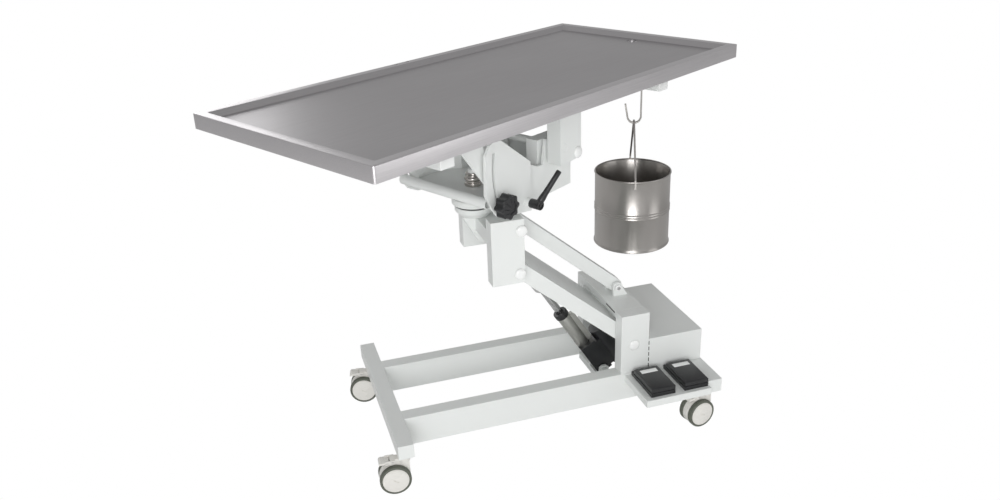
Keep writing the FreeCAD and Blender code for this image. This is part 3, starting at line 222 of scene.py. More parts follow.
def brushed_group():
    """Fine lines along one direction, as a mask and a height, with broad cloudy variation."""
    inputs = [("Turn", "NodeSocketFloat", 0.0), ("Fineness", "NodeSocketFloat", 900.0),
              ("Stretch", "NodeSocketFloat", 40.0)]
    outputs = [("Lines", "NodeSocketFloat"), ("Cloud", "NodeSocketFloat")]
    group, given, out = new_group("Brushed lines", inputs, outputs)
    link = group.links.new
    place = node(group, "ShaderNodeTexCoord")
    turn = node(group, "ShaderNodeVectorRotate", rotation_type="Z_AXIS")
    link(place.outputs["Object"], turn.inputs["Vector"])
    link(given.outputs["Turn"], turn.inputs["Angle"])
    squeeze = node(group, "ShaderNodeCombineXYZ", Y=1.0, Z=1.0)
    inverse = node(group, "ShaderNodeMath", operation="DIVIDE")
    inverse.inputs[0].default_value = 1.0
    link(given.outputs["Stretch"], inverse.inputs[1])
    link(inverse.outputs[0], squeeze.inputs["X"])
    scaled = node(group, "ShaderNodeVectorMath", operation="MULTIPLY")
    link(turn.outputs[0], scaled.inputs[0])
    link(squeeze.outputs[0], scaled.inputs[1])
    lines = node(group, "ShaderNodeTexNoise", Detail=3.0, Roughness=0.6)
    link(scaled.outputs[0], lines.inputs["Vector"])
    link(given.outputs["Fineness"], lines.inputs["Scale"])
    cloud = node(group, "ShaderNodeTexNoise", Scale=5.0, Detail=3.0, Roughness=0.55)
    link(scaled.outputs[0], cloud.inputs["Vector"])
    cloud_soft = node(group, "ShaderNodeTexNoise", Scale=3.2, Detail=4.0)
    link(place.outputs["Object"], cloud_soft.inputs["Vector"])
    both = node(group, "ShaderNodeMath", operation="ADD")
    link(cloud.outputs["Fac"], both.inputs[0])
    link(cloud_soft.outputs["Fac"], both.inputs[1])
    half = node(group, "ShaderNodeMath", operation="MULTIPLY")
    half.inputs[1].default_value = 0.5
    link(both.outputs[0], half.inputs[0])
    link(lines.outputs["Fac"], out.inputs["Lines"])
    link(half.outputs[0], out.inputs["Cloud"])
    return group


def grain_group():
    """Orange peel or moulded grain: a fine height and a broad mask."""
    group, given, out = new_group("Surface grain", [("Size", "NodeSocketFloat", 500.0)],
                                  [("Height", "NodeSocketFloat"), ("Patches", "NodeSocketFloat")])
    link = group.links.new
    place = node(group, "ShaderNodeTexCoord")
    fine = node(group, "ShaderNodeTexNoise", Detail=2.0)
    link(place.outputs["Object"], fine.inputs["Vector"])
    link(given.outputs["Size"], fine.inputs["Scale"])
    broad = node(group, "ShaderNodeTexNoise", Scale=7.0, Detail=4.0)
    link(place.outputs["Object"], broad.inputs["Vector"])
    link(fine.outputs["Fac"], out.inputs["Height"])
    link(broad.outputs["Fac"], out.inputs["Patches"])
    return group


def flange_group():
    """The flat rim round the tray, as a mask: whatever lies outside the well. The tray's painted rim
    highlight is laid through this mask.
    """
    inputs = [("Turn", "NodeSocketFloat", 0.0), ("Well", "NodeSocketVector", (0, 0, 0))]
    group, given, out = new_group("Tray flange", inputs, [("Mask", "NodeSocketFloat")])
    link = group.links.new
    place = node(group, "ShaderNodeTexCoord")
    turn = node(group, "ShaderNodeVectorRotate", rotation_type="Z_AXIS")
    link(place.outputs["Object"], turn.inputs["Vector"])
    link(given.outputs["Turn"], turn.inputs["Angle"])
    size = node(group, "ShaderNodeVectorMath", operation="ABSOLUTE")
    link(turn.outputs[0], size.inputs[0])
    beyond = node(group, "ShaderNodeVectorMath", operation="SUBTRACT")
    link(size.outputs[0], beyond.inputs[0])
    link(given.outputs["Well"], beyond.inputs[1])
    parts = node(group, "ShaderNodeSeparateXYZ")
    link(beyond.outputs[0], parts.inputs[0])
    most = node(group, "ShaderNodeMath", operation="MAXIMUM")
    link(parts.outputs["X"], most.inputs[0])
    link(parts.outputs["Y"], most.inputs[1])
    mask = node(group, "ShaderNodeMapRange")
    mask.inputs["From Max"].default_value = 0.001
    link(most.outputs[0], mask.inputs["Value"])
    link(mask.outputs["Result"], out.inputs["Mask"])
    return group


GROUPS = {}


def shared(name):
    makers = {"brushed": brushed_group, "grain": grain_group, "flange": flange_group}
    if name not in GROUPS:
        GROUPS[name] = makers[name]()
    return GROUPS[name]


def start_material(name):
    material = bpy.data.materials.new(name)
    material.use_nodes = True
    tree = material.node_tree
    return material, tree, tree.nodes["Principled BSDF"]


def place_group(tree, name, **settings):
    item = tree.nodes.new("ShaderNodeGroup")
    item.node_tree = shared(name)
    for key, setting in settings.items():
        item.inputs[key].default_value = setting
    return item


def shade_mix(tree, dark, light, factor):
    """Two colours mixed by a mask."""
    mix = node(tree, "ShaderNodeMix", data_type="RGBA")
    mix.inputs["A"].default_value = (*dark, 1)
    mix.inputs["B"].default_value = (*light, 1)
    tree.links.new(factor, mix.inputs["Factor"])
    return mix.outputs["Result"]


def spread(tree, factor, low, high, start=0.3, end=0.7):
    """A mask spread over a range of values."""
    item = node(tree, "ShaderNodeMapRange")
    item.inputs["From Min"].default_value = start
    item.inputs["From Max"].default_value = end
    item.inputs["To Min"].default_value = low
    item.inputs["To Max"].default_value = high
    tree.links.new(factor, item.inputs["Value"])
    return item.outputs["Result"]


def bump(tree, shader, height, strength, distance):
    item = node(tree, "ShaderNodeBump", Strength=strength, Distance=distance)
    tree.links.new(height, item.inputs["Height"])
    tree.links.new(item.outputs["Normal"], shader.inputs["Normal"])


def tinted(base, factor):
    return tuple(min(1.0, channel * factor) for channel in base)


def coat_material(name, base, rough=0.38, size=420.0, coat=0.25):
    """Powder coat or smooth plastic: faint patches, orange peel and a thin clear layer."""
    material, tree, shader = start_material(name)
    grain = place_group(tree, "grain", Size=size)
    patches = grain.outputs["Patches"]
    tint = shade_mix(tree, tinted(base, 0.965), tinted(base, 1.02), patches)
    tree.links.new(tint, shader.inputs["Base Color"])
    tree.links.new(spread(tree, patches, rough - 0.05, rough + 0.06), shader.inputs["Roughness"])
    shader.inputs["Coat Weight"].default_value = coat
    shader.inputs["Coat Roughness"].default_value = 0.25
    bump(tree, shader, grain.outputs["Height"], 0.12, 0.0004)
    return material


def steel_material(name, base, turn=0.0, rough=0.3, fineness=900.0, stretch=40.0, depth=0.3, spun=False):
    """Brushed metal: lines along one direction in colour and height; spun metal's highlights run upright."""
    material, tree, shader = start_material(name)
    brushed = place_group(tree, "brushed", Turn=turn, Fineness=fineness, Stretch=stretch)
    tint = shade_mix(tree, tinted(base, 0.86), tinted(base, 1.1), brushed.outputs["Lines"])
    tree.links.new(tint, shader.inputs["Base Color"])
    gloss = spread(tree, brushed.outputs["Cloud"], rough - 0.05, rough + 0.08)
    tree.links.new(gloss, shader.inputs["Roughness"])
    shader.inputs["Metallic"].default_value = 1.0
    if spun:
        round_z = node(tree, "ShaderNodeTangent", direction_type="RADIAL", axis="Z")
        tree.links.new(round_z.outputs["Tangent"], shader.inputs["Tangent"])
        shader.inputs["Anisotropic"].default_value = 0.75
        shader.inputs["Anisotropic Rotation"].default_value = 0.25
    bump(tree, shader, brushed.outputs["Lines"], depth, 0.0002)
    return material


def tray_material():
    """The tray's brushed steel, with the flat rim painted lighter as a painted highlight."""
    size = sizes()
    material = steel_material("tray_steel", colours().steel, -size.turn, 0.34, 700, 60, 0.15)
    tree = material.node_tree
    shader = tree.nodes["Principled BSDF"]
    well = (TRAY_HALF[0] - size.tray_flange, TRAY_HALF[1] - size.tray_flange, 0)
    flange = place_group(tree, "flange", Turn=-size.turn, Well=well)
    brushed = shader.inputs["Base Color"].links[0].from_socket
    # Painted highlight: the rim's colour is multiplied by 1.3 to stand in for light falling on the flange
    painted_rim_highlight = node(tree, "ShaderNodeMix", data_type="RGBA", blend_type="MULTIPLY")
    painted_rim_highlight.inputs["B"].default_value = (1.3, 1.3, 1.3, 1)
    tree.links.new(flange.outputs["Mask"], painted_rim_highlight.inputs["Factor"])
    tree.links.new(brushed, painted_rim_highlight.inputs["A"])
    tree.links.new(painted_rim_highlight.outputs["Result"], shader.inputs["Base Color"])
    return material


MATERIALS = {}


def finish_of(name):
    """The finish with that name, made when it is first asked for."""
    paint = colours()
    makers = {
        "enamel": lambda: coat_material("white_enamel", paint.enamel, 0.36, 420, 0.2),
        "caps": lambda: coat_material("white_plastic", (0.9, 0.91, 0.9), 0.25, 300, 0.5),
        "caster": lambda: coat_material("caster_plastic", paint.caster, 0.3, 300, 0.3),
        "tyre": lambda: coat_material("tyre", paint.tyre, 0.62, 900, 0.0),
        "black": lambda: coat_material("black_plastic", paint.black, 0.34, 1300, 0.15),
        "seal": lambda: coat_material("seal_rubber", (0.012, 0.012, 0.013), 0.6, 900, 0.0),
        "tray": tray_material,
        "bucket": lambda: steel_material("bucket_steel", (0.47, 0.45, 0.43), 0, 0.32, 500, 0.03, 0.08, True),
        "bright": lambda: steel_material("bright_steel", (0.62, 0.62, 0.62), 0, 0.25, 1500, 1, 0.1),
        "alloy": lambda: steel_material("actuator_alloy", (0.52, 0.52, 0.49), 0, 0.42, 900, 1, 0.05),
        "chrome": lambda: steel_material("chrome", (0.58, 0.55, 0.52), 0, 0.14, 600, 1, 0.03),
    }
    if name not in MATERIALS:
        MATERIALS[name] = makers[name]()
    return MATERIALS[name]


FINISH_RULES = (
    ("tray", ("tray", "drain_spigot")),
    ("bucket", ("bucket", "bail")),
    ("tyre", ("caster_wheels",)),
    ("caster", ("caster_fork", "caster_brake")),
    ("black", ("pedal_base", "pedal_treadle", "star_knob", "clamp_lever", "actuator_motor",
               "actuator_collar")),
    ("alloy", ("actuator_tube",)),
    ("seal", ("turntable_seal",)),
    ("chrome", ("turntable_nut",)),
    ("bright", ("actuator_rod", "arm_clevis_pin")),
    ("caps", ("frame_end_caps", "column_pins", "head_pins")),
)


def finish_for(label):
    """The finish of a piece that keeps its solid; the frame's own is enamel."""
    for finish, starts in FINISH_RULES:
        if label.startswith(starts):
            return finish
    return "enamel"


# Modelling helpers

def fresh():
    """Nothing selected, object mode."""
    if bpy.context.mode != "OBJECT":
        bpy.ops.object.mode_set(mode="OBJECT")
    bpy.ops.object.select_all(action="DESELECT")


def pick(obj, test, kind="FACE"):
    """In edit mode, select only the faces, edges or vertices that pass the test."""
    bpy.ops.object.mode_set(mode="OBJECT")
    mesh = obj.data
    for group in (mesh.vertices, mesh.edges, mesh.polygons):
        for item in group:
            item.select = False
    chosen = {"FACE": mesh.polygons, "EDGE": mesh.edges, "VERT": mesh.vertices}[kind]
    for item in chosen:
        item.select = bool(test(item))
    bpy.ops.object.mode_set(mode="EDIT")
    bpy.ops.mesh.select_mode(type=kind)


def apply(obj, kind, **settings):
    """Add a modifier, set it and apply it."""
    modifier = obj.modifiers.new(kind.title(), kind)
    for key, setting in settings.items():
        setattr(modifier, key, setting)
    bpy.context.view_layer.objects.active = obj
    bpy.ops.object.modifier_apply(modifier=modifier.name)


def settle(obj, name, body, finish, nodes=(), angle=35):
    """Shade, place, name and dress a finished piece and let it ride on its body."""
    fresh()
    obj.select_set(True)
    bpy.context.view_layer.objects.active = obj
    bpy.ops.object.transform_apply(location=True, rotation=True, scale=True)
    bpy.ops.object.shade_smooth_by_angle(angle=radians(angle))
    obj.name = name
    obj.data.materials.clear()
    obj.data.materials.append(finish_of(finish))
    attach(obj, body)
    if nodes:
        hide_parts(*nodes)
    fresh()
    return obj


def turn_into(obj, matrix):
    """Move a piece modelled round the origin to its place."""
    obj.data.transform(matrix)


def push(x, y, z):
    """Extrude the selection and move it."""
    bpy.ops.mesh.extrude_region_move(TRANSFORM_OT_translate={"value": (x, y, z)})


def narrow(factor, **about):
    """Scale the selection level with the floor."""
    bpy.ops.transform.resize(value=(factor, factor, 1), **about)


def soften(obj, width, segments=2, angle=30):
    """Round the edges that are sharper than an angle in degrees."""
    apply(obj, "BEVEL", width=width, segments=segments, limit_method="ANGLE", angle_limit=radians(angle))


def carve(obj, cutter):
    """Cut a helper piece out of another and remove the helper."""
    fresh()
    apply(obj, "BOOLEAN", object=cutter, operation="DIFFERENCE", solver="EXACT")
    bpy.data.objects.remove(cutter)


def on_ring(obj, radius):
    """A test for edges whose ends both lie that far from the piece's own upright axis."""
    points = obj.data.vertices
    return lambda edge: all(abs(points[index].co.xy.length - radius) < RING_MISS for index in edge.vertices)


def cylinder(radius, depth, place=(0, 0, 0), vertices=64, rotation=(0, 0, 0)):
    fresh()
    bpy.ops.mesh.primitive_cylinder_add(vertices=vertices, radius=radius, depth=depth,
                                        location=place, rotation=rotation)
    obj = bpy.context.object
    bpy.ops.object.transform_apply(location=True, rotation=True, scale=True)
    return obj


def box(size, place=(0, 0, 0), rotation=(0, 0, 0)):
    fresh()
    bpy.ops.mesh.primitive_cube_add(size=1, location=place, scale=size, rotation=rotation)
    obj = bpy.context.object
    bpy.ops.object.transform_apply(location=True, rotation=True, scale=True)
    return obj


def join(*objects):
    """Make one object of several, under the first one's name."""
    fresh()
    for obj in objects:
        obj.select_set(True)
    bpy.context.view_layer.objects.active = objects[0]
    bpy.ops.object.join()
    return objects[0]


def copied(obj):
    """A copy with a mesh of its own."""
    twin = obj.copy()
    twin.data = obj.data.copy()
    bpy.context.collection.objects.link(twin)
    return twin


def normal_along(obj, direction, least=0.9):
    """A test for faces that look along a direction."""
    direction = Vector(direction)
    return lambda face: face.normal.dot(direction) > least


def basis(side, up, out, origin):
    """The matrix that takes local X, Y and Z to three directions at a place."""
    turn = Matrix((Vector(side), Vector(up), Vector(out))).transposed().to_4x4()
    return Matrix.Translation(origin) @ turn


def joint_at(name):
    return Vector(JOINTS[name]["pos_m"])


def along_tray():
    return Vector((cos(sizes().turn), sin(sizes().turn), 0))


def across_tray():
    return Vector((-sin(sizes().turn), cos(sizes().turn), 0))


def facing_near(name, distance):
    """A frame on a joint's axis, that far towards the tray's near side, with local Z pointing out."""
    out = -across_tray()
    return basis(along_tray(), (0, 0, 1), out, joint_at(name) + out * distance)


# Operators

class TABLE_OT_studio(bpy.types.Operator):
    """Pale floor, soft lamps and the camera at the photograph's angle"""
    bl_idname = "table.studio"
    bl_label = "Studio"

    def camera(self):
        data = bpy.data.cameras.new("studio_camera")
        data.sensor_width = CAMERA_SENSOR
        data.lens = CAMERA_LENS
        data.clip_start = 0.05
        camera = bpy.data.objects.new("studio_camera", data)
        bpy.context.collection.objects.link(camera)
        yaw, pitch, roll = radians(CAMERA_YAW), radians(CAMERA_PITCH), radians(CAMERA_ROLL)
        ahead = Vector((sin(yaw) * cos(pitch), cos(yaw) * cos(pitch), -sin(pitch)))
        right = Vector((cos(yaw), -sin(yaw), 0))
        above = right.cross(ahead)
        side = cos(roll) * right + sin(roll) * above
        top = cos(roll) * above - sin(roll) * right
        facing = Matrix((side, top, -ahead)).transposed().to_4x4()
        camera.matrix_world = Matrix.Translation(CAMERA_PLACE) @ facing
        bpy.context.scene.camera = camera

    def floor(self):
        fresh()
        bpy.ops.mesh.primitive_plane_add(size=FLOOR_WIDTH, location=(0, 0, 0))
        floor = bpy.context.object
        floor.name = "studio_floor"
        material, tree, shader = start_material("studio_floor")
        shader.inputs["Base Color"].default_value = (*colours().floor, 1)
        shader.inputs["Roughness"].default_value = 0.9
        shader.inputs["Specular IOR Level"].default_value = 0.1
        path = node(tree, "ShaderNodeLightPath")
        clean = node(tree, "ShaderNodeEmission", Strength=1.0)
        clean.inputs["Color"].default_value = (1, 1, 1, 1)
        mix = node(tree, "ShaderNodeMixShader")
        tree.links.new(path.outputs["Is Camera Ray"], mix.inputs[0])
        tree.links.new(shader.outputs[0], mix.inputs[1])
        tree.links.new(clean.outputs[0], mix.inputs[2])
        tree.links.new(mix.outputs[0], tree.nodes["Material Output"].inputs["Surface"])
        floor.data.materials.append(material)

    def lamp(self, name, place, power, size):
        data = bpy.data.lights.new(name, "AREA")
        data.shape = "DISK"
        data.size = size
        data.energy = power
        lamp = bpy.data.objects.new(name, data)
        bpy.context.collection.objects.link(lamp)
        aim = Vector(LAMP_AIM) - Vector(place)
        lamp.matrix_world = Matrix.Translation(place) @ aim.to_track_quat("-Z", "Y").to_matrix().to_4x4()

    def world(self):
        world = bpy.data.worlds.new("studio_world")
        bpy.context.scene.world = world
        world.use_nodes = True
        tree = world.node_tree
        back = tree.nodes["Background"]
        back.inputs["Color"].default_value = (1, 1, 1, 1)
        path = node(tree, "ShaderNodeLightPath")
        lit = node(tree, "ShaderNodeMapRange")
        lit.inputs["To Min"].default_value = AMBIENT
        lit.inputs["To Max"].default_value = 1.0
        tree.links.new(path.outputs["Is Camera Ray"], lit.inputs["Value"])
        tree.links.new(lit.outputs["Result"], back.inputs["Strength"])

    def execute(self, context):
        context.scene.view_settings.view_transform = "Standard"
        self.camera()
        self.floor()
        self.world()
        for lamp in LAMPS:
            self.lamp(*lamp)
        return {"FINISHED"}


class TABLE_OT_frame(bpy.types.Operator):
    """Finishes and soft edges for every piece that keeps its solid"""
    bl_idname = "table.frame"
    bl_label = "Frame"

    def execute(self, context):
        for label, obj in NODES.items():
            obj.data.materials.clear()
            obj.data.materials.append(finish_of(finish_for(label)))
            weld = obj.modifiers.new("Weld", "WELD")
            weld.merge_threshold = 0.00002
            flat = obj.modifiers.new("Flat", "DECIMATE")
            flat.decimate_type = "DISSOLVE"
            flat.angle_limit = radians(0.5)
            soft = obj.modifiers.new("Bevel", "BEVEL")
            soft.width = sizes().edge
            soft.segments = 3
            soft.limit_method = "ANGLE"
            soft.angle_limit = radians(40)
            soft.harden_normals = True
        return {"FINISHED"}


def corner_edge(obj, edge):
    """Whether an edge of the tray runs down one of its corners."""
    run = obj.data.vertices[edge.vertices[0]].co - obj.data.vertices[edge.vertices[1]].co
    return abs(run.z) > CORNER_HEIGHT and max(abs(run.x), abs(run.y)) < CORNER_WIDTH


class TABLE_OT_tray(bpy.types.Operator):
    """The stainless tray with its folded skirt, sunk floor, drain and slots"""
    bl_idname = "table.tray"
    bl_label = "Tray"

    def execute(self, context):
        size = sizes()
        low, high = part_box("tray")
        top, skirt = high.z, low.z
        half = Vector(TRAY_HALF)
        obj = box((2 * half.x, 2 * half.y, top - skirt), (0, 0, (top + skirt) / 2))
        pick(obj, lambda face: face.normal.z < -0.5)
        bpy.ops.mesh.delete(type="FACE")
        pick(obj, lambda face: face.normal.z > 0.5)
        bpy.ops.mesh.inset(thickness=size.tray_flange)
        push(0, 0, -size.tray_depth)
        narrower = [1 - size.tray_slope / (side - size.tray_flange) for side in half]
        bpy.ops.transform.resize(value=(*narrower, 1))
        pick(obj, lambda edge: corner_edge(obj, edge), "EDGE")
        bpy.ops.mesh.bevel(offset=size.tray_corner, segments=5)
        bpy.ops.object.mode_set(mode="OBJECT")
        soften(obj, TRAY_FOLD, 3, 25)
        apply(obj, "SOLIDIFY", thickness=size.sheet, offset=-1)
        pipe_low, pipe_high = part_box("drain_spigot")
        drain = (pipe_low + pipe_high) / 2
        turn_into(obj, Matrix.Rotation(size.turn, 4, "Z"))
        cutters = [cylinder(DRAIN_HOLE, DRAIN_CUT, (drain.x, drain.y, top - size.tray_depth), 48)]
        swivel = joint_at("table_swivel")
        for along in RIM_SLOTS_ALONG:
            place = swivel + along * along_tray() + (half.y - RIM_SLOT_INSET) * across_tray()
            cutters.append(box(RIM_SLOT, (place.x, place.y, top), (0, 0, size.turn)))
        carve(obj, join(*cutters))
        settle(obj, "tray_pan", "tilt", "tray", ["tray"])
        return {"FINISHED"}


class TABLE_OT_bucket(bpy.types.Operator):
    """The hanging bucket: rolled rim, beads and foot ring"""
    bl_idname = "table.bucket"
    bl_label = "Bucket"

    def profile(self, height):
        """Rises above the foot and radii, up the outside of the wall and over the rolled rim."""
        size = sizes()
        beads = [size.bead_rise + step * size.bead_pitch for step in (-1, 0, 1)]
        steps = list(PAIL_FOOT)
        steps += [(bead + rise, out) for bead in beads for rise, out in PAIL_BEAD]
        steps += [(height + rise, out) for rise, out in PAIL_RIM]
        return [(rise, PAIL_RADIUS + out) for rise, out in steps]

    def execute(self, context):
        low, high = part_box("bucket")
        centre = joint_at("bail_swing")
        steps = self.profile(high.z - low.z)
        fresh()
        foot = steps[0][1]
        bpy.ops.mesh.primitive_circle_add(vertices=96, radius=foot, location=(0, 0, 0), fill_type="NGON")
        obj = context.object
        bpy.ops.object.mode_set(mode="EDIT")
        bpy.ops.mesh.select_all(action="SELECT")
        bpy.ops.mesh.inset(thickness=PAIL_BOTTOM_RING)
        pick(obj, on_ring(obj, foot), "EDGE")
        for before, step in zip(steps, steps[1:]):
            push(0, 0, step[0] - before[0])
            narrow(step[1] / before[1], center_override=(0, 0, 0))
        bpy.ops.mesh.select_all(action="SELECT")
        bpy.ops.mesh.normals_make_consistent(inside=False)
        bpy.ops.object.mode_set(mode="OBJECT")
        apply(obj, "SOLIDIFY", thickness=PAIL_SHEET, offset=-1)
        turn_into(obj, Matrix.Translation((centre.x, centre.y, low.z)))
        settle(obj, "pail", "bucket", "bucket", ["bucket"], 50)
        return {"FINISHED"}


class TABLE_OT_knob(bpy.types.Operator):
    """The lobed tilt knob, its neck and bolt"""
    bl_idname = "table.knob"
    bl_label = "Tilt knob"

    def lobes(self, obj):
        """Draw the hollows between the lobes in, a little further at every step."""
        side = Vector((1, 0))
        for step in range(12):
            least = 0.8 - step * 0.14
            pick(obj, lambda point: cos(KNOB_LOBES * point.co.xy.angle_signed(side)) < least, "VERT")
            narrow(0.986, center_override=(0, 0, KNOB_HEIGHT / 2))

    def execute(self, context):
        obj = cylinder(KNOB_RADIUS, KNOB_HEIGHT, (0, 0, KNOB_HEIGHT / 2), 128)
        self.lobes(obj)
        pick(obj, normal_along(obj, (0, 0, 1)))
        for factor, rise in KNOB_CROWN:
            push(0, 0, rise)
            narrow(factor, center_override=(0, 0, KNOB_HEIGHT))
        ring, depth = KNOB_DISH
        bpy.ops.mesh.inset(thickness=ring, use_even_offset=False)
        push(0, 0, -depth)
        bpy.ops.object.mode_set(mode="OBJECT")
        neck = cylinder(*KNOB_NECK, (0, 0, -0.0068), 48)
        pick(neck, normal_along(neck, (0, 0, -1)))
        narrow(KNOB_NECK_TAPER, center_override=(0, 0, -KNOB_NECK[1]))
        bpy.ops.object.mode_set(mode="OBJECT")
        bolt = cylinder(*KNOB_BOLT, (0, 0, -0.030), 32)
        head = cylinder(*KNOB_NUT, (0, 0, -0.0355), 6)
        whole = join(obj, neck, bolt, head)
        turn_into(whole, facing_near("tilt_knob", KNOB_OUT))
        settle(whole, "knob", "knob", "black", ["star_knob"])
        return {"FINISHED"}


class TABLE_OT_lever(bpy.types.Operator):
    """The swivel clamp's ratchet lever"""
    bl_idname = "table.lever"
    bl_label = "Clamp lever"

    def hub(self):
        hub = cylinder(*LEVER_HUB, (0, 0, 0.0155), 48)
        pick(hub, normal_along(hub, (0, 0, -1)))
        bpy.ops.mesh.inset(thickness=0.004)
        push(0, 0, -0.0002)
        pick(hub, normal_along(hub, (0, 0, 1)))
        ring, depth = LEVER_BUTTON
        bpy.ops.mesh.inset(thickness=ring)
        push(0, 0, -depth)
        bpy.ops.object.mode_set(mode="OBJECT")
        return hub

    def arm(self):
        arm = cylinder(*LEVER_ROOT, (0, 0, 0.010), 32)
        pick(arm, normal_along(arm, (0, 0, 1)))
        for rise, factor in LEVER_STEPS:
            push(0, 0, rise)
            narrow(factor)
        bpy.ops.object.mode_set(mode="OBJECT")
        return arm

    def execute(self, context):
        hub = self.hub()
        screw = cylinder(*LEVER_SCREW, (0, 0, 0.0285), 6)
        arm = self.arm()
        for piece in (hub, arm):
            soften(piece, 0.0015, 3, 40)
        lean = Matrix.Rotation(radians(-38), 4, "Z") @ Matrix.Rotation(radians(-78), 4, "X")
        turn_into(arm, Matrix.Translation((0, 0, 0.021)) @ lean)
        shaft = cylinder(*LEVER_SHAFT, (0, 0, -0.014), 32)
        whole = join(hub, screw, arm, shaft)
        turn_into(whole, facing_near("swivel_clamp", LEVER_OUT))
        settle(whole, "lever", "lever", "black", ["clamp_lever"])
        return {"FINISHED"}


class TABLE_OT_wheels(bpy.types.Operator):
    """Twin wheels of the four casters: disc covers and thin grey tyres"""
    bl_idname = "table.wheels"
    bl_label = "Wheels"

    def tyre(self):
        obj = cylinder(TYRE_RADIUS, TYRE_WIDTH, (0, 0, 0), 96)
        pick(obj, lambda face: abs(face.normal.z) > 0.9)
        bpy.ops.mesh.inset(thickness=TYRE_RISE)
        bpy.ops.mesh.delete(type="FACE")
        pick(obj, on_ring(obj, TYRE_RADIUS - TYRE_RISE), "EDGE")
        bpy.ops.mesh.bridge_edge_loops()
        bpy.ops.object.mode_set(mode="OBJECT")
        soften(obj, TYRE_ROUND, 5, 50)
        return obj

    def cover(self):
        obj = cylinder(COVER_RADIUS, COVER_WIDTH, (0, 0, 0), 96)
        pick(obj, normal_along(obj, (0, 0, 1)))
        for ring, rise in COVER_STEPS:
            bpy.ops.mesh.inset(thickness=ring)
            push(0, 0, rise)
        bpy.ops.object.mode_set(mode="OBJECT")
        soften(obj, 0.0005)
        carve(obj, box(COVER_SLOT, (0, 0, 0.0085), (0, 0, radians(-35))))
        return obj

    def execute(self, context):
        tyre, cover = self.tyre(), self.cover()
        up = Vector((0, 0, 1))
        for name in CASTERS:
            hub = joint_at("wheel_spin_" + name)
            out = Vector(JOINTS["wheel_spin_" + name]["axis"])
            for label, model, finish in (("tyres", tyre, "tyre"), ("covers", cover, "caster")):
                pair = []
                for side in (-out, out):
                    piece = copied(model)
                    turn_into(piece, basis(up.cross(side), up, side, hub + side * WHEEL_OUT))
                    pair.append(piece)
                if label == "covers":
                    axle = cylinder(*AXLE, (0, 0, 0), 32)
                    turn_into(axle, basis(up.cross(out), up, out, hub))
                    pair.append(axle)
                settle(join(*pair), "wheel_%s_%s" % (label, name), "wheels_" + name, finish,
                       ["caster_wheels_" + name])
        for model in (tyre, cover):
            bpy.data.objects.remove(model)
        return {"FINISHED"}


class TABLE_OT_pedals(bpy.types.Operator):
    """The foot pedals' sprung lids with a bare strip on each"""
    bl_idname = "table.pedals"
    bl_label = "Foot pedals"

    def execute(self, context):
        for name in ("left", "right"):
            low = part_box("pedal_treadle_" + name)[0]
            base_low, base_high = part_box("pedal_base_" + name)
            middle = (base_low.x + base_high.x) / 2
            wide = base_high.x - base_low.x
            long = base_high.y - base_low.y - LID_SHORTER
            front = base_low.y - 0.0002
            lid = box((wide - 0.001, long, LID_THICKNESS), (middle, front + long / 2, low.z + LID_MIDDLE))
            pick(lid, normal_along(lid, (0, 0, 1)))
            ring, rise = LID_STEP
            bpy.ops.mesh.inset(thickness=ring)
            push(0, 0, rise)
            bpy.ops.object.mode_set(mode="OBJECT")
            soften(lid, 0.0024, 4, 20)
            settle(lid, "pedal_lid_" + name, "treadle_" + name, "black",
                   ["pedal_treadle_" + name])
            place = (middle, base_high.y - STRIP_BACK, low.z + STRIP_RISE)
            strip = box((wide - STRIP_NARROWER, *STRIP), place)
            soften(strip, 0.0003)
            settle(strip, "pedal_strip_" + name, "treadle_" + name, "caps")
        return {"FINISHED"}


class TABLE_OT_brakes(bpy.types.Operator):
    """Ribbed brake pedals of the casters"""
    bl_idname = "table.brakes"
    bl_label = "Brake pedals"

    def pedal(self):
        pad = box(PAD, (PAD_OUT, 0, 0))
        pick(pad, normal_along(pad, (1, 0, 0)))
        push(0.003, 0, -0.003)
        bpy.ops.object.mode_set(mode="OBJECT")
        soften(pad, 0.0016, 3, 35)
        ribs = [box(RIB, (RIB_START + RIB_PITCH * step, 0, 0)) for step in range(RIBS)]
        cheeks = [box(CHEEK, (0.006, side * 0.013, 0)) for side in (-1, 1)]
        for piece in ribs + cheeks:
            soften(piece, 0.0004)
        shaft = cylinder(*BRAKE_SHAFT, (0, 0, 0), 32, (pi / 2, 0, 0))
        return join(pad, shaft, *ribs, *cheeks)

    def execute(self, context):
        model = self.pedal()
        up = Vector((0, 0, 1))
        for name in CASTERS:
            axis = Vector(JOINTS["brake_press_" + name]["axis"])
            piece = copied(model)
            turn_into(piece, basis(axis.cross(up), axis, up, joint_at("brake_press_" + name)))
            settle(piece, "brake_" + name, "brake_" + name, "caster",
                   ["caster_brake_" + name])
        bpy.data.objects.remove(model)
        return {"FINISHED"}


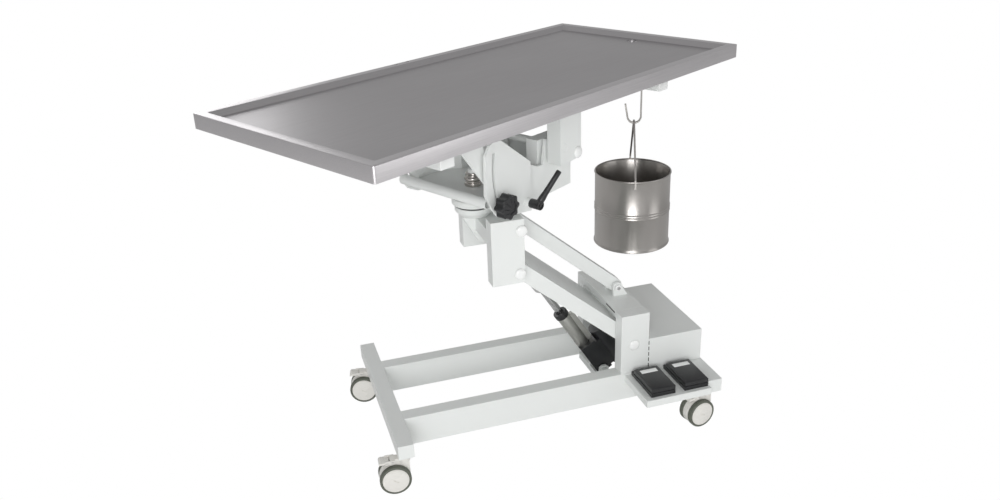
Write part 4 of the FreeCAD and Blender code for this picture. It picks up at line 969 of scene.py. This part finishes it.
class TABLE_OT_trim(bpy.types.Operator):
    """Dark seam beside the control box, a thin strip of painted shade under the column's top, and the link's
    bolt
    """
    bl_idname = "table.trim"
    bl_label = "Trim"

    def seam(self):
        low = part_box("control_box")[0]
        dashes = [box(SEAM_DASH, (low.x + 0.0006, low.y - 0.0001, low.z + SEAM_START + SEAM_PITCH * step))
                  for step in range(SEAM_DASHES)]
        settle(join(*dashes), "box_seam", "base", "seal")

    def slot(self):
        # Painted shade: a thin black strip on the beam's side stands for the shadowed gap under the column's
        # top
        low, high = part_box("column_beam")
        slot = box(BEAM_SHADE_STRIP, (low.x - 0.0001, low.y + 0.034, high.z - 0.007))
        soften(slot, 0.0003)
        settle(slot, "beam_shade_strip", "base", "seal")

    def bolt(self):
        link = joint_at("link_swing")
        pins = NODES["column_pins"]
        ends = [pins.matrix_world @ point.co for point in pins.data.vertices]
        face = min(end.y for end in ends if (end.xz - link.xz).length < LINK_PIN_REACH)
        bolt = cylinder(*LINK_BOLT, (link.x, face - 0.0006, link.z), 6, (pi / 2, 0, 0))
        soften(bolt, 0.0006, 2, 40)
        settle(bolt, "link_bolt", "base", "bright")

    def execute(self, context):
        self.seam()
        self.slot()
        self.bolt()
        return {"FINISHED"}


class TABLE_PT_panel(bpy.types.Panel):
    bl_idname = "TABLE_PT_panel"
    bl_label = "Operating Table"
    bl_space_type = "VIEW_3D"
    bl_region_type = "UI"
    bl_category = "Table"

    def draw(self, context):
        for operator in OPERATORS:
            self.layout.operator(operator.bl_idname)
        for group in (context.scene.table_sizes, context.scene.table_colours):
            for key in group.__annotations__:
                self.layout.prop(group, key)


OPERATORS = (TABLE_OT_studio, TABLE_OT_frame, TABLE_OT_tray, TABLE_OT_bucket, TABLE_OT_knob, TABLE_OT_lever,
             TABLE_OT_wheels, TABLE_OT_pedals, TABLE_OT_brakes, TABLE_OT_trim)
CLASSES = (TableSizes, TableColours) + OPERATORS + (TABLE_PT_panel,)


def register():
    for item in CLASSES:
        bpy.utils.register_class(item)
    bpy.types.Scene.table_sizes = bpy.props.PointerProperty(type=TableSizes)
    bpy.types.Scene.table_colours = bpy.props.PointerProperty(type=TableColours)


def unregister():
    del bpy.types.Scene.table_sizes
    del bpy.types.Scene.table_colours
    for item in reversed(CLASSES):
        bpy.utils.unregister_class(item)


def main():
    register()
    for operator in OPERATORS:
        group, name = operator.bl_idname.split(".")
        getattr(getattr(bpy.ops, group), name)()


if __name__ == "__main__":
    main()
